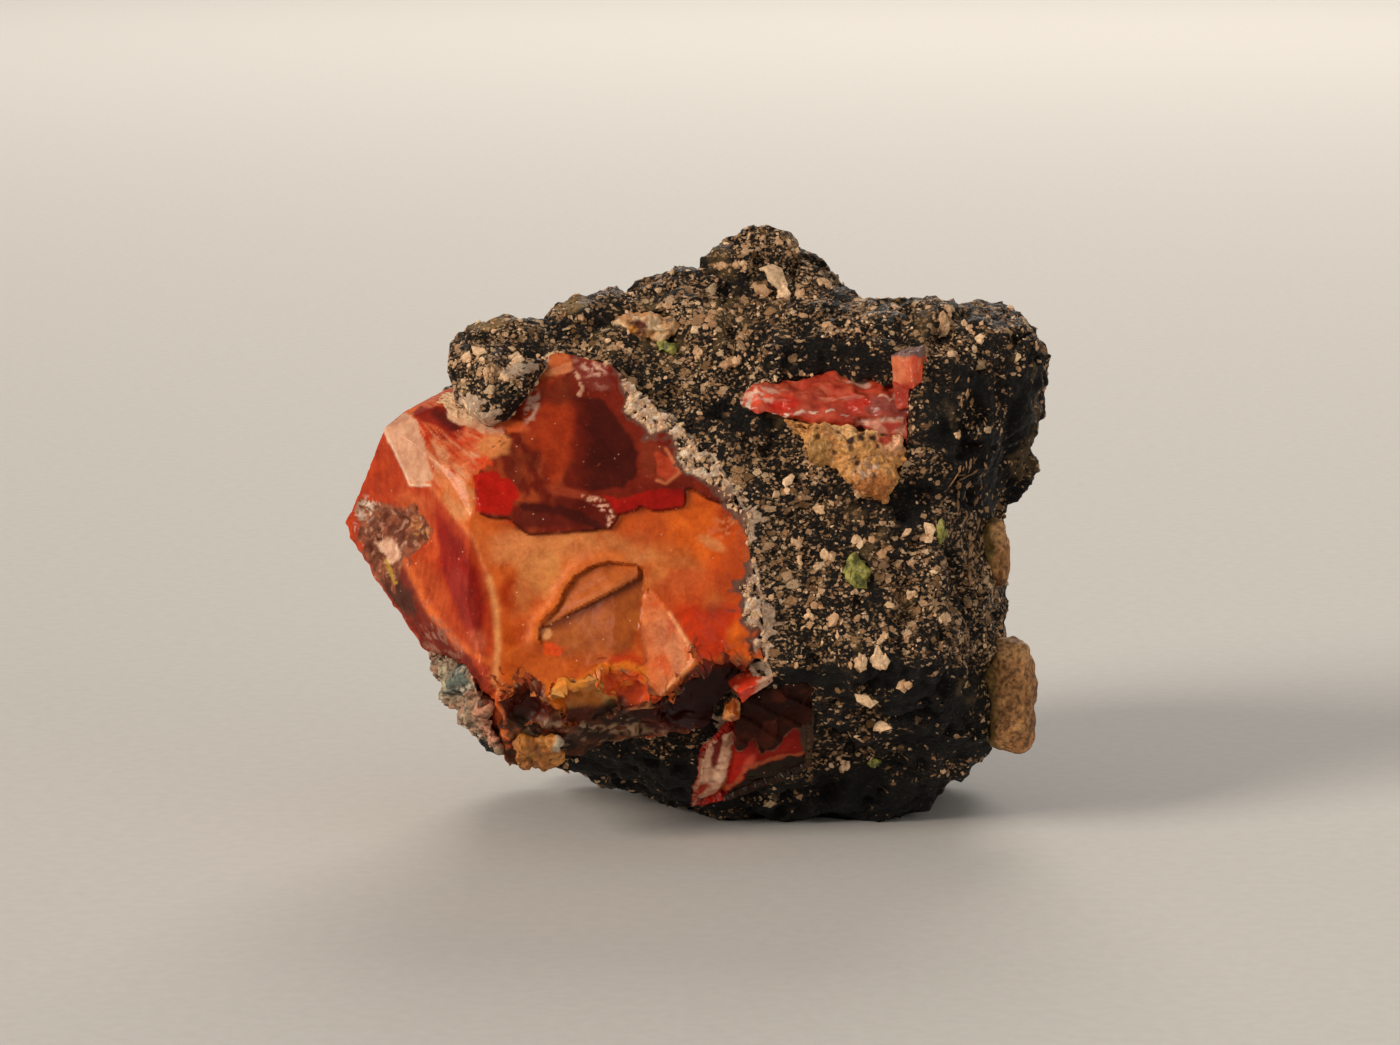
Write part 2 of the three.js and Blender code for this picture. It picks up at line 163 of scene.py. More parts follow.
# %% The finish maker
class Finish:
    """One procedural material. Each call adds a node and gives back its output."""

    def __init__(self, name, **sockets):
        self.material = bpy.data.materials.new(name)
        self.material.use_nodes = True
        self.tree = self.material.node_tree
        self.shader = self.tree.nodes["Principled BSDF"]
        for socket, value in sockets.items():
            self.shader.inputs[socket.replace("_", " ")].default_value = value
        self.coordinates = self.tree.nodes.new("ShaderNodeTexCoord").outputs["Object"]

    def node(self, kind, **inputs):
        made = self.tree.nodes.new("ShaderNode" + kind)
        for socket, value in inputs.items():
            self.set(made, socket.replace("_", " "), value)
        return made

    def set(self, made, socket, value):
        target = made.inputs[int(socket) if socket.isdigit() else socket]
        if isinstance(value, bpy.types.NodeSocket):
            self.tree.links.new(value, target)
        else:
            target.default_value = value

    def turned(self, stretch, turn):
        """Object coordinates, turned and squeezed so that a pattern runs one way."""
        made = self.node("Mapping", Vector=self.coordinates)
        made.inputs["Rotation"].default_value = [math.radians(angle) for angle in turn]
        made.inputs["Scale"].default_value = stretch
        return made.outputs[0]

    def clouds(self, size, detail=4.0, roughness=0.55, distortion=0.0, vector=None):
        made = self.node("TexNoise", Vector=vector or self.coordinates)
        made.inputs["Scale"].default_value = 1 / (size * MM)
        made.inputs["Detail"].default_value = detail
        made.inputs["Roughness"].default_value = roughness
        made.inputs["Distortion"].default_value = distortion
        return made

    def cells(self, size, feature="F1", vector=None):
        made = self.tree.nodes.new("ShaderNodeTexVoronoi")
        made.feature = feature
        self.set(made, "Vector", vector or self.coordinates)
        made.inputs["Scale"].default_value = 1 / (size * MM)
        return made

    def shaken(self, size, amount, vector=None):
        """Coordinates moved about by clouds, so that straight cell edges become ragged."""
        cloud = self.clouds(size, detail=3, vector=vector).outputs["Color"]
        away = self.node("VectorMath", **{"0": cloud, "1": (0.5, 0.5, 0.5)})
        away.operation = "SUBTRACT"
        scaled = self.node("VectorMath", **{"0": away.outputs[0]})
        scaled.operation = "SCALE"
        scaled.inputs["Scale"].default_value = amount * MM
        moved = self.node("VectorMath", **{"0": vector or self.coordinates, "1": scaled.outputs[0]})
        moved.operation = "ADD"
        return moved.outputs[0]

    def math(self, operation, first, second):
        made = self.node("Math", **{"0": first, "1": second})
        made.operation = operation
        return made.outputs[0]

    def step(self, value, low, high):
        """0 below low, 1 above high and smooth between them. low may be above high."""
        made = self.node("MapRange", Value=value)
        made.interpolation_type = "SMOOTHSTEP"
        made.inputs["From Min"].default_value = min(low, high)
        made.inputs["From Max"].default_value = max(low, high)
        made.inputs["To Min"].default_value = float(low > high)
        made.inputs["To Max"].default_value = float(low <= high)
        return made.outputs[0]

    def ramp(self, value, *stops):
        """Colours along a value. Each stop is a place and a colour."""
        made = self.node("ValToRGB", Fac=value)
        while len(made.color_ramp.elements) < len(stops):
            made.color_ramp.elements.new(0.5)
        for element, (place, colour) in zip(made.color_ramp.elements, stops):
            element.position = place
            element.color = (*colour, 1)
        return made.outputs[0]

    def mix(self, share, below, above, way="MIX"):
        made = self.tree.nodes.new("ShaderNodeMix")
        made.data_type = "RGBA"
        made.blend_type = way
        for socket, value in ((0, share), (6, below), (7, above)):
            if isinstance(value, tuple):
                value = (*value[:3], 1)
            self.set(made, str(socket), value)
        return made.outputs[2]

    def painted(self, name):
        """A value or colour that was painted on the vertices."""
        made = self.tree.nodes.new("ShaderNodeAttribute")
        made.attribute_name = name
        return made

    def red_of(self, colour):
        return self.node("SeparateColor", Color=colour).outputs[0]

    def relief(self, height, depth, over=None):
        """Bumps whose height runs from 0 to depth millimetres."""
        made = self.node("Bump", Height=height)
        made.inputs["Distance"].default_value = depth * MM
        made.inputs["Strength"].default_value = 1
        if over is not None:
            self.set(made, "Normal", over)
        return made.outputs[0]

    def finish(self, colour, roughness=None, normal=None):
        self.set(self.shader, "Base Color", colour)
        if roughness is not None:
            self.set(self.shader, "Roughness", roughness)
        if normal is not None:
            self.set(self.shader, "Normal", normal)
        return self.material


paper = Finish("pale_paper", Roughness=0.8)
grain = paper.clouds(1.5, detail=3).outputs[0]
tone = paper.ramp(grain, (0.3, (0.66, 0.64, 0.61)), (0.7, (0.7, 0.68, 0.65)))
floor.data.materials.append(paper.finish(tone))

# %% [markdown]
# ## Working on vertices
#
# The large shapes come from modelling operators: hulls, boolean cuts, remeshing. The fine relief of a
# broken stone is thousands of small moves, so it is worked out for all vertices at once: read their
# places, add bumps or press a flake scar in, and put them back. Colours are painted the same way, layer
# over layer, each through a mask. An outline drawn on the tracing plane becomes a mask through
# inside_by(), the distance of each vertex inside that outline.

# %% Vertex helpers
def places_of(piece):
    flat = np.empty(len(piece.data.vertices) * 3, np.float32)
    piece.data.vertices.foreach_get("co", flat)
    return flat.reshape(-1, 3).astype(float) / MM


def normals_of(piece):
    flat = np.empty(len(piece.data.vertices) * 3, np.float32)
    piece.data.vertex_normals.foreach_get("vector", flat)
    return flat.reshape(-1, 3).astype(float)


def put(piece, places):
    piece.data.vertices.foreach_set("co", (places * MM).astype(np.float32).ravel())
    piece.data.update()


def toward_eye(places, normals):
    """1 where the surface faces the eye, 0 where it is edge on and below 0 where it faces away."""
    sight = EYE - places
    return np.sum(normals * sight, axis=1) / np.linalg.norm(sight, axis=1)


def bumps(places, size, seed=0.0, octaves=3):
    """Fractal bumps from about -1 to 1. The largest of them are size millimetres across."""
    shift = Vector((seed, 2.3 * seed, -1.7 * seed))
    return np.array([noise.fractal(Vector(place) / size + shift, 1, 2, octaves) for place in places])


def step(value, low, high):
    """0 below low, 1 above high and smooth between them."""
    share = np.clip((value - low) / (high - low), 0, 1)
    return share * share * (3 - 2 * share)


def inside_by(spots, outline):
    """How far each spot lies inside a closed outline, and below 0 outside it."""
    corners = np.array(outline, float)
    nearest = np.full(len(spots), 1e9)
    odd = np.zeros(len(spots), bool)
    for start, end in zip(corners, np.roll(corners, -1, axis=0)):
        along = end - start
        share = np.clip(((spots - start) @ along) / (along @ along), 0, 1)
        nearest = np.minimum(nearest, np.linalg.norm(spots - start - share[:, None] * along, axis=1))
        if start[1] != end[1]:
            crossed = (start[1] > spots[:, 1]) != (end[1] > spots[:, 1])
            cross_at = along[0] * (spots[:, 1] - start[1]) / along[1] + start[0]
            odd ^= crossed & (spots[:, 0] < cross_at)
    return np.where(odd, nearest, -nearest)


def off_line(spots, line):
    """How far each spot is from an open line."""
    corners = np.array(line, float)
    nearest = np.full(len(spots), 1e9)
    for start, end in zip(corners[:-1], corners[1:]):
        along = end - start
        share = np.clip(((spots - start) @ along) / (along @ along), 0, 1)
        nearest = np.minimum(nearest, np.linalg.norm(spots - start - share[:, None] * along, axis=1))
    return nearest


def at_depth(right, up, depth):
    """The place at depth y that shows at a spot of the tracing plane."""
    through = TARGET + right * np.array([1, 0, 0]) + up * UP
    sight = through - EYE
    return EYE + sight * (depth - EYE[1]) / sight[1]


def store(piece, name, values):
    """Keeps one value for each vertex, for a finish to read."""
    kept = piece.data.attributes.new(name, "FLOAT", "POINT")
    kept.data.foreach_set("value", np.asarray(values, np.float32))


def paint(piece, ground, layers):
    """Colours the vertices: a ground colour, then each layer's colour through its mask."""
    colours = np.tile(np.array(ground, float), (len(piece.data.vertices), 1))
    for mask, colour in layers:
        share = np.clip(mask, 0, 1)[:, None]
        colours = colours * (1 - share) + np.array(colour) * share
    kept = piece.data.color_attributes.new("tint", "FLOAT_COLOR", "POINT")
    rgba = np.concatenate([colours, np.ones((len(colours), 1))], axis=1)
    kept.data.foreach_set("color", rgba.astype(np.float32).ravel())


def tree_of(piece):
    """The piece's surface, for finding what lies nearest to a place or along a ray."""
    piece.data.calc_loop_triangles()
    corners = [tuple(vertex.co / MM) for vertex in piece.data.vertices]
    return BVHTree.FromPolygons(corners, [tuple(t.vertices) for t in piece.data.loop_triangles])


def nearest_on(tree, places, reach):
    """For each place: the nearest surface point and the distance to it, up to reach."""
    found = places.copy()
    gap = np.full(len(places), float(reach))
    for i, place in enumerate(places):
        spot, _, _, distance = tree.find_nearest(place, reach)
        if spot is not None:
            found[i] = spot
            gap[i] = distance
    return found, gap


# %% Modelling helpers
def applied(piece, kind, **settings):
    """Adds a modifier and applies it."""
    modifier = piece.modifiers.new(kind.title(), kind)
    for key, value in settings.items():
        setattr(modifier, key, value)
    only(piece)
    bpy.ops.object.modifier_apply(modifier=modifier.name)


def copy_of(node, name):
    """A piece with a CAD node's shape, its loose triangles merged."""
    piece = bpy.data.objects.new(name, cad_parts[node].data.copy())
    bpy.context.collection.objects.link(piece)
    piece.data.materials.clear()
    only(piece)
    bpy.ops.object.mode_set(mode="EDIT")
    bpy.ops.mesh.select_all(action="SELECT")
    bpy.ops.mesh.remove_doubles(threshold=1e-6)
    bpy.ops.mesh.customdata_custom_splitnormals_clear()
    bpy.ops.object.mode_set(mode="OBJECT")
    return piece


def remeshed(piece, size):
    """The piece's surface rebuilt in even squares, size millimetres wide."""
    applied(piece, "REMESH", mode="VOXEL", voxel_size=size * MM)


def settled(piece, node, finish, crease=180):
    """Gives a finished piece its material and shading, and lets it stand for its node."""
    only(piece)
    if crease < 180:
        bpy.ops.object.shade_smooth_by_angle(angle=math.radians(crease))
    else:
        bpy.ops.object.shade_smooth()
    piece.data.materials.clear()
    piece.data.materials.append(finish)
    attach(piece, "root")
    if node:
        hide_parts(node)
    faces = sum(len(polygon.vertices) - 2 for polygon in piece.data.polygons)
    print(piece.name, "has", faces, "triangles")

# %% [markdown]
# ## The carnelian, 1: its broken body
#
# Carnelian is chalcedony, a very fine quartz. It breaks like thick glass: in flat or gently hollow faces
# that meet in crisp ridges, with shell-shaped hollows where an edge was struck off. One could sculpt that
# freely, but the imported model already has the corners. So the body starts as the hull of those corners.
# The dark skin stands proud there, so the face under it is given by its own five corners. The lower front
# edge is then struck: four egg-shaped balls are cut out of it, which leaves the hollows that blows leave.

# %% The hull under the skin
FACE_CORNERS = {
    "ridge_upper": (-22.76, -21.38, 32),
    "band_top": (3.84, -19.98, 32.6),
    "crest": (-13.96, -11.78, 47.2),
    "crest_right": (-9.06, -13.78, 46.2),
    "slope_right": (0.24, -18.38, 38),
}
SKIN_ZONE = [(-23.4, 13), (-23.2, 2.5), (-19, -1), (-2, -1), (6, 3.5), (5, 8), (-6, 16), (-13, 21), (-20, 16)]

carnelian = copy_of("carnelian", "carnelian_stone")
hull_places = places_of(carnelian)
under_skin = inside_by(seen(hull_places), SKIN_ZONE) > 0
under_skin &= hull_places[:, 1] < -8
mesh = bmesh.new()
for place in [*hull_places[~under_skin], *FACE_CORNERS.values()]:
    mesh.verts.new([value * MM for value in place])
mesh.to_mesh(carnelian.data)
mesh.free()
only(carnelian)
bpy.ops.object.mode_set(mode="EDIT")
bpy.ops.mesh.select_all(action="SELECT")
bpy.ops.mesh.convex_hull()
bpy.ops.object.mode_set(mode="OBJECT")
print("hull of", len(hull_places), "places has", len(carnelian.data.polygons), "faces")

# %% Struck hollows
# Each hollow: the middle on the tracing plane, half sizes to the right, away and up, a tilt in degrees,
# and how far the ball's middle stands out in front of the face.
STRUCK = {
    "left_notch": ((-17.4, -18.7), (2.5, 2.4, 2.6), 0, 0.3),
    "amber_shell": ((-10.9, -19), (2.9, 2.6, 2.9), 0, 0.3),
    "red_shell": ((-7.5, -17.7), (2.5, 2.4, 3.2), 0, 0.2),
    "dark_shell": ((1.3, -18.1), (5.3, 3.4, 4.5), 12, 0.4),
}
BALL_ROUNDS = 5


def face_at(tree, spot):
    """The point of a surface that shows at a spot of the tracing plane, or None beside it."""
    through = TARGET + spot[0] * np.array([1, 0, 0]) + spot[1] * UP
    found = tree.ray_cast(Vector(EYE), Vector(through - EYE).normalized())[0]
    return None if found is None else np.array(found)


def struck(piece, middle, half, tilt):
    """Cuts an egg-shaped hollow out of the piece."""
    bpy.ops.object.select_all(action="DESELECT")
    bpy.ops.mesh.primitive_ico_sphere_add(subdivisions=BALL_ROUNDS, radius=1, location=Vector(middle) * MM)
    ball = bpy.context.object
    ball.scale = [value * MM for value in half]
    ball.rotation_euler = (0, math.radians(-tilt), 0)
    bpy.ops.object.transform_apply(location=True, rotation=True, scale=True)
    applied(piece, "BOOLEAN", operation="DIFFERENCE", object=ball, solver="EXACT")
    bpy.data.objects.remove(ball)


hull_tree = tree_of(carnelian)
struck_at = {}
for name, (spot, half, tilt, out) in STRUCK.items():
    struck_at[name] = face_at(hull_tree, spot) + out * BACK
    struck(carnelian, struck_at[name], half, tilt)
print("struck edge:", len(carnelian.data.polygons), "faces")

# %% [markdown]
# The body is now a few large polygons. To carry relief it needs an even skin of small squares, and the
# crisp ridges have to stay. The Remesh modifier's sharp mode does both. The faces that show in front are
# split once more, because that is where the skin's edge and the flake scar are.

# %% An even skin with crisp ridges
SHARP_DEPTH = 7
SHARP_SCALE = 0.9

applied(carnelian, "REMESH", mode="SHARP", octree_depth=SHARP_DEPTH, scale=SHARP_SCALE, sharpness=1.0)
only(carnelian)
places = places_of(carnelian)
facing = toward_eye(places, normals_of(carnelian))
in_front = (facing > 0.05) & (places[:, 1] < -6)
bpy.ops.object.mode_set(mode="EDIT")
bpy.ops.mesh.select_all(action="DESELECT")
bpy.ops.object.mode_set(mode="OBJECT")
for polygon in carnelian.data.polygons:
    polygon.select = all(in_front[i] for i in polygon.vertices)
bpy.ops.object.mode_set(mode="EDIT")
bpy.ops.mesh.select_mode(type="FACE")
bpy.ops.mesh.subdivide(number_cuts=1)
bpy.ops.object.mode_set(mode="OBJECT")
print("carnelian has", len(carnelian.data.vertices), "vertices")

# %% [markdown]
# ## The carnelian, 2: skin, shells and flake scar
#
# Four things give the broken face its look. Each large face is slightly hollow, so its light runs from
# one side to the other. A dark red skin, half a millimetre thick, still lies on the upper face and ends
# in a wavy step. In the middle of the orange face a flake was lifted: a curved step with a lens-shaped
# splinter left in it, and below it a smooth scar. A flat pink facet lies right of that. All are pressed
# into the vertices through masks, because their edges are soft on one side and crisp on the other, which
# no boolean gives.

# %% Outlines on the tracing plane
SKIN = [
    (-22, 0.9), (-20.8, 0.4), (-19.2, 0.4), (-18, -0.6), (-17, -1.2), (-14, -1.2), (-11.6, -0.9),
    (-8.8, -0.7), (-8.3, 0), (-8.1, 0.7), (-6.4, 1.2), (-6, 1.5), (-4.6, 1.1), (-3.1, 1.2), (-1.6, 1.4),
    (-1.3, 2.3), (-1.5, 3.2), (-0.9, 3.3), (0.6, 2.4), (1.9, 1.9), (2.9, 2.1), (5, 5), (0, 12), (-8, 19),
    (-14, 20), (-19, 16), (-18.1, 12.9), (-19.2, 10.3), (-20.3, 7.8), (-22, 5.3), (-22.6, 3.3),
]  # fmt: skip
SCAR_ARC = [
    (-6.3, -4.2), (-7.6, -4.05), (-9, -3.85), (-11, -4.4), (-12.5, -5.4), (-13.6, -6.8), (-14, -7.9),
    (-14.5, -8.7), (-15.9, -10), (-16.2, -11.6),
]  # fmt: skip
CREST = [(-6.1, -5.4), (-9.5, -7.3), (-12.5, -8.8), (-14.4, -9.7), (-15.7, -10.4)]
SPLINTER = [(-6.1, -4.2), *SCAR_ARC[1:9], *CREST[::-1]]
SCAR = [*SCAR_ARC, (-15, -13.4), (-10, -14.4), (-6.6, -13), (-6, -10), (-5.4, -7.2), (-5.6, -4.6)]
PINK_FACET = [
    (-5.3, -6.4), (-3.1, -9), (-0.7, -12.9), (-0.7, -13.9), (-4, -17.2), (-5.1, -17.2), (-5.5, -12.9),
    (-6, -9.6),
]  # fmt: skip
PALE_FACET = [
    (-31.8, 9.5), (-29.5, 11), (-28.8, 10.7), (-28, 9.7), (-26.7, 4.3), (-27.4, 3.8), (-28.8, 3.7),
    (-29.4, 4.4),
]  # fmt: skip
RIDGE = [
    (-27, 3.8), (-24.8, 0.9), (-22.7, -1.6), (-21.1, -5.6), (-20.4, -8.7), (-20.2, -12.5), (-20.5, -15.7),
    (-20, -16.7), (-19.5, -21.7), (-18.8, -24.2),
]  # fmt: skip
LOWER_EDGE = [
    (-20.3, -16.3), (-15.5, -16.1), (-14.2, -18.5), (-11.6, -16.1), (-8.1, -14.4), (-5.3, -15.9),
    (-4, -17.4), (-0.5, -14.2), (3.2, -13.3), (6.5, -13.7),
]  # fmt: skip
DIRTY_SPOT = [
    (-34.8, 2.4), (-32.4, 2), (-30.4, 1.9), (-28.4, 1.4), (-26.8, -0.6), (-27.8, -2.6), (-29.4, -4.2),
    (-30.4, -6.4), (-31.6, -5.6), (-32.8, -3.8), (-33.4, -1.6),
]  # fmt: skip

WHITE_SEAM = [
    (-9.4, 17.5), (-8.9, 15.7), (-8.6, 13.5), (-7.6, 11.3), (-6.4, 9.5), (-3.9, 8.4), (-2.1, 6),
    (-0.3, 4.8), (2.2, 2.5), (4, 0.4), (4.5, -1.8), (4.1, -4.2), (4.2, -6.4), (3.7, -8.8), (5, -10.6),
    (5.8, -12.4), (9, -12.4), (9, 6), (2, 14), (-6, 19),
]  # fmt: skip

LEFT_OUTLINE = [(-34.4, -1.4), (-34.2, -3), (-31.6, -6.2), (-29.4, -9.4), (-27.6, -12.2)]

# %% [markdown]
# Where an edge crumbled, the stone lost one small shell after another. Cell noise gives such a field:
# each place knows how near the middle of its own cell is, which makes a hollow, and how near the next
# cell is, which makes the ridge between two hollows. The struck hollows are marked as well, because their
# walls stay smooth and get their own colour.

# %% Shell-shaped chips
def shells(places, chosen, size, seed):
    """For chosen places: 0 at a chip's rim to 1 in its middle, the way from the rim, the chip's number."""
    shift = Vector((seed, 2 * seed, -seed))
    deep, from_rim, pick = np.zeros((3, len(places)))
    for i in np.where(chosen)[0]:
        distances, middles = noise.voronoi(Vector(places[i]) / size + shift)
        deep[i] = max(0, 1 - (distances[0] / 0.75) ** 2)
        from_rim[i] = (distances[1] - distances[0]) * size
        pick[i] = noise.cell(middles[0] * 7.7)
    return deep, from_rim, pick


# %% The struck hollows, marked, and their edges broken up
def in_struck(name):
    """1 on the wall of a struck hollow, 0 elsewhere."""
    _, half, tilt, _ = STRUCK[name]
    angle = math.radians(-tilt)
    cosine, sine = math.cos(angle), math.sin(angle)
    turn = np.array([[cosine, 0, sine], [0, 1, 0], [-sine, 0, cosine]])
    reach = np.sum(((places - struck_at[name]) @ turn / half) ** 2, axis=1)
    return (1 - step(reach, 1.0, 1.08)) * (places[:, 1] < -6)


places = places_of(carnelian)
IN_NOTCH, IN_AMBER, IN_RED, IN_DARK = (in_struck(name) for name in STRUCK)
near_edge = np.exp(-((off_line(seen(places), LOWER_EDGE) / 3) ** 2)) * step(places[:, 1], -5, -8)
for size, height, seed in ((2.8, 1.5, 6), (1, 0.35, 14)):
    places[:, 0] += near_edge * height * bumps(places, size, seed=seed)
    places[:, 2] += near_edge * height * bumps(places, size, seed=seed + 5)
put(carnelian, places)

# %% Large hollow faces
# Each: the middle of the hollow on the body, how wide it is and how deep in the middle.
HOLLOW_FACES = {
    "left_face": ((-28.3, -17.5, 31.7), 21, 1.3),
    "upper_face": ((-10.6, -17.9, 38.7), 16, 0.8),
    "front_face": ((-10.6, -25.6, 20.8), 17, 0.7),
    "under_face": ((-7.8, -22.1, 12.1), 13, 1.0),
}


def hollowed(places, middle, normal, across, depth):
    """Presses places that lie inside a very large ball out of it, which leaves a shallow round hollow."""
    radius = across * across / 8 / depth + depth / 2
    centre = middle + normal * (radius - depth)
    away = places - centre
    reach = np.linalg.norm(away, axis=1)
    pressed = centre + away * (radius / reach)[:, None]
    return np.where((reach < radius)[:, None], pressed, places)


body_tree = tree_of(carnelian)
places = places_of(carnelian)
for middle, across, depth in HOLLOW_FACES.values():
    spot, normal, _, _ = body_tree.find_nearest(Vector(middle))
    places = hollowed(places, np.array(spot), np.array(normal), across, depth)
put(carnelian, places)

# %% Skin, scar, splinter and facet
SKIN_THICK = 0.5
SCAR_DEEP = 0.65

normals = normals_of(carnelian)
spots = seen(places)
facing = toward_eye(places, normals)
front = step(facing, 0.05, 0.3) * (places[:, 1] < -8)
ragged = bumps(places, 1.6, seed=3) * 0.16
in_skin = inside_by(spots, SKIN) + ragged
skin_fade = step(in_skin, -0.1, 0.16) * (0.35 + 0.65 * step(spots[:, 1], 9, 4))
rise = SKIN_THICK * skin_fade * front

in_scar = inside_by(spots, SCAR)
from_arc = off_line(spots, SCAR_ARC)
from_crest = off_line(spots, CREST)
scar_depth = step(in_scar, -0.04, 0.14) * step(from_arc, 8.5, 1) * step(spots[:, 1], -13.4, -9.5)
rise -= SCAR_DEEP * scar_depth * front
rise += 0.16 * np.exp(-((from_arc - 0.5) ** 2) / 0.35) * (in_scar < 0) * front
in_splinter = inside_by(spots, SPLINTER)
taper = step(spots[:, 0], -16.2, -11)
splinter = step(in_splinter, 0, 0.12) * taper
rise += splinter * (0.1 + 0.6 * np.exp(-((from_crest - 0.5) ** 2) / 0.8)) * front
rise -= 0.3 * np.exp(-(from_arc**2) / 0.025) * (in_scar > 0) * front

in_pink = inside_by(spots, PINK_FACET)
pink_right = off_line(spots, PINK_FACET[:4])
rise -= 0.4 * step(in_pink, 0, 0.12) * np.exp(-pink_right / 2.2) * front

# %% [markdown]
# The rest of the surface has ways of its own. Ripples run out from where a blow fell. The back, which the
# photograph doesn't show, is one large break of wide shells with a grimy rim against the rock. Below the
# lower edge come small chips and then rubble. A dirty hollow lies on the left corner, and on the right
# the stone meets the rock in a sugary white seam full of pits.

# %% Ripples, the dirty spot and the rubble below
BELOW = [*LOWER_EDGE, (6.5, -30), (-21, -30)]
RIPPLE_MIDDLES = [(-31, 12), (-13, 17), (-9, -16), (4, -14)]

rise += 0.05 * bumps(places, 3.5, seed=1) + 0.012 * bumps(places, 0.9, seed=2)
behind = step(facing, 0.05, -0.2)
rise -= behind * (0.5 * shells(places, behind > 0, 6.5, 4)[0] - 0.12 * bumps(places, 1.4, seed=19))
to_rock = nearest_on(tree_of(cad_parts["matrix"]), places, 4.0)[1] + 1.2 * bumps(places, 2.2, seed=20)
rock_rim = behind * step(to_rock, 2, 1.2)
rise += rock_rim * (0.3 + 0.5 * bumps(places, 0.9, seed=30))
for middle in RIPPLE_MIDDLES:
    away = np.linalg.norm(spots - np.array(middle), axis=1)
    rise += 0.02 * np.sin(away * 3.1 + 0.8 * bumps(places, 6, seed=5, octaves=2)) * np.exp(-away / 12) * front

in_dirt = inside_by(spots, DIRTY_SPOT) + 0.8 * bumps(places, 1.3, seed=7)
rise += (0.42 * bumps(places, 0.9, seed=8) - 0.1) * step(in_dirt, -0.2, 0.6) * front
rise -= 0.8 * np.exp(-np.sum(((spots - (-30.1, 0.1)) / (1.3, 0.8)) ** 2, axis=1)) * front
from_edge = off_line(spots, LOWER_EDGE)
below_edge = step(inside_by(spots, BELOW), -0.05, 0.15)
chips_end = 2.4 + 2.8 * step(spots[:, 0], -7, -3) + 0.8 * bumps(places, 2.2, seed=9)
rubble = below_edge * step(from_edge - chips_end, 0, 1.4) * step(places[:, 1], -3, -9)
rubble = np.maximum(rubble, step(facing, 0.02, -0.2) * step(places[:, 2], 24, 17))
rise += (0.55 * bumps(places, 2.2, seed=9) + 0.25 * bumps(places, 0.9, seed=10)) * rubble
under = below_edge * step(places[:, 1], -3, -9) * (1 - rubble)
struck_off = np.max([IN_NOTCH, IN_AMBER, IN_RED, IN_DARK], axis=0)
chip_deep, chip_rim, chip_pick = shells(places * (0.62, 0.8, 1), under > 0, 2.1, 9)
rise -= (1.3 * chip_deep - 0.35) * under * (1 - 0.8 * struck_off) * step(from_edge, 0.1, 0.9)
from_outline = off_line(spots, LEFT_OUTLINE)
at_outline = np.exp(-((from_outline / 1.7) ** 2)) * (places[:, 0] < -24)
rise += (0.75 + 0.4 * bumps(places, 1.6, seed=18)) * at_outline
in_seam = inside_by(spots, WHITE_SEAM) + 1.7 * bumps(places, 2.6, seed=15) + 0.4 * bumps(places, 0.8, seed=16)
on_seam = step(in_seam, 0.3, 0.8) * step(facing, -0.1, 0.1) * (places[:, 1] < -8)
seam_pits = step(bumps(places, 0.9, seed=30), 0.16, 0.4) * on_seam
rise += (0.15 + 0.5 * bumps(places, 1.3, seed=17, octaves=4)) * on_seam - 0.45 * seam_pits
places = places + normals * rise[:, None]
put(carnelian, places)
shown = spots[front > 0.5]
print("carnelian front spans", shown.min(axis=0).round(1), shown.max(axis=0).round(1))

# %% [markdown]
# ## The carnelian, 3: its colours
#
# Iron stains carnelian from cream over orange to blood red, in clouds and bands that have nothing to do
# with its breaks, while the skin is darker all over. So the colours are painted from large to small: the
# orange ground, the red left side, the skin with its lighter streaks and bright red fringe, the facets,
# and the lower break, painted dark: its own dark red with painted shade over it. Every mask is shaken by
# bumps, because a stain never ends in a drawn line. An edge is different: a painted highlight along it,
# and a painted shadow below a step, is a thin straight line.

# %% Colours of the carnelian
ORANGE = (0.68, 0.125, 0.017)
PALE_ORANGE = (0.72, 0.24, 0.065)
DEEP_ORANGE = (0.62, 0.065, 0.005)
LEFT_RED = (0.54, 0.055, 0.01)
GLOWING = (0.68, 0.13, 0.035)
MAROON = (0.34, 0.014, 0.005)
SHADED_PURPLE_RED = (0.21, 0.018, 0.006)
SKIN_RED = (0.19, 0.014, 0.004)
SKIN_DARK = (0.07, 0.006, 0.002)
SKIN_LIGHT = (0.4, 0.06, 0.014)
BRIGHT_RED = (0.5, 0.01, 0.003)
PALE_PINK = (0.8, 0.42, 0.26)
WARM_PINK = (0.92, 0.25, 0.08)
OLIVE = (0.42, 0.095, 0.012)
UNDERSIDE_SHADE = (0.03, 0.007, 0.004)
DIRT = (0.2, 0.062, 0.032)
CHALK = (0.72, 0.56, 0.44)

# %% Masks for painting
def blot(middle, half, turn=0.0, edge=0.35, wobble=0.35):
    """A soft oval stain on the tracing plane."""
    away = spots - np.array(middle)
    angle = math.radians(turn)
    right = away[:, 0] * math.cos(angle) + away[:, 1] * math.sin(angle)
    up = away[:, 1] * math.cos(angle) - away[:, 0] * math.sin(angle)
    reach = np.hypot(right / half[0], up / half[1]) + wobble * medium + 0.5 * wobble * small
    return (1 - step(reach, 1 - edge, 1 + edge)) * front


def within(outline, soft=0.12):
    """The inside of an outline, with a slightly shaken edge."""
    return step(inside_by(shaken, outline), -soft, soft) * front


def along(line, wide):
    """A stroke along a line."""
    return (1 - step(off_line(shaken, line), wide * 0.5, wide)) * front


def glow(line, wide):
    """A soft line along an edge: a painted highlight in a light colour, a painted shadow in a dark one."""
    return np.exp(-((off_line(spots, line) / wide) ** 2)) * front


def grit(size, seed, share):
    """Grains of one size, of which more show as share goes from -1 to 1."""
    return step(bumps(places, size, seed=seed), 0.1 - share * 0.6, 0.35 - share * 0.6)


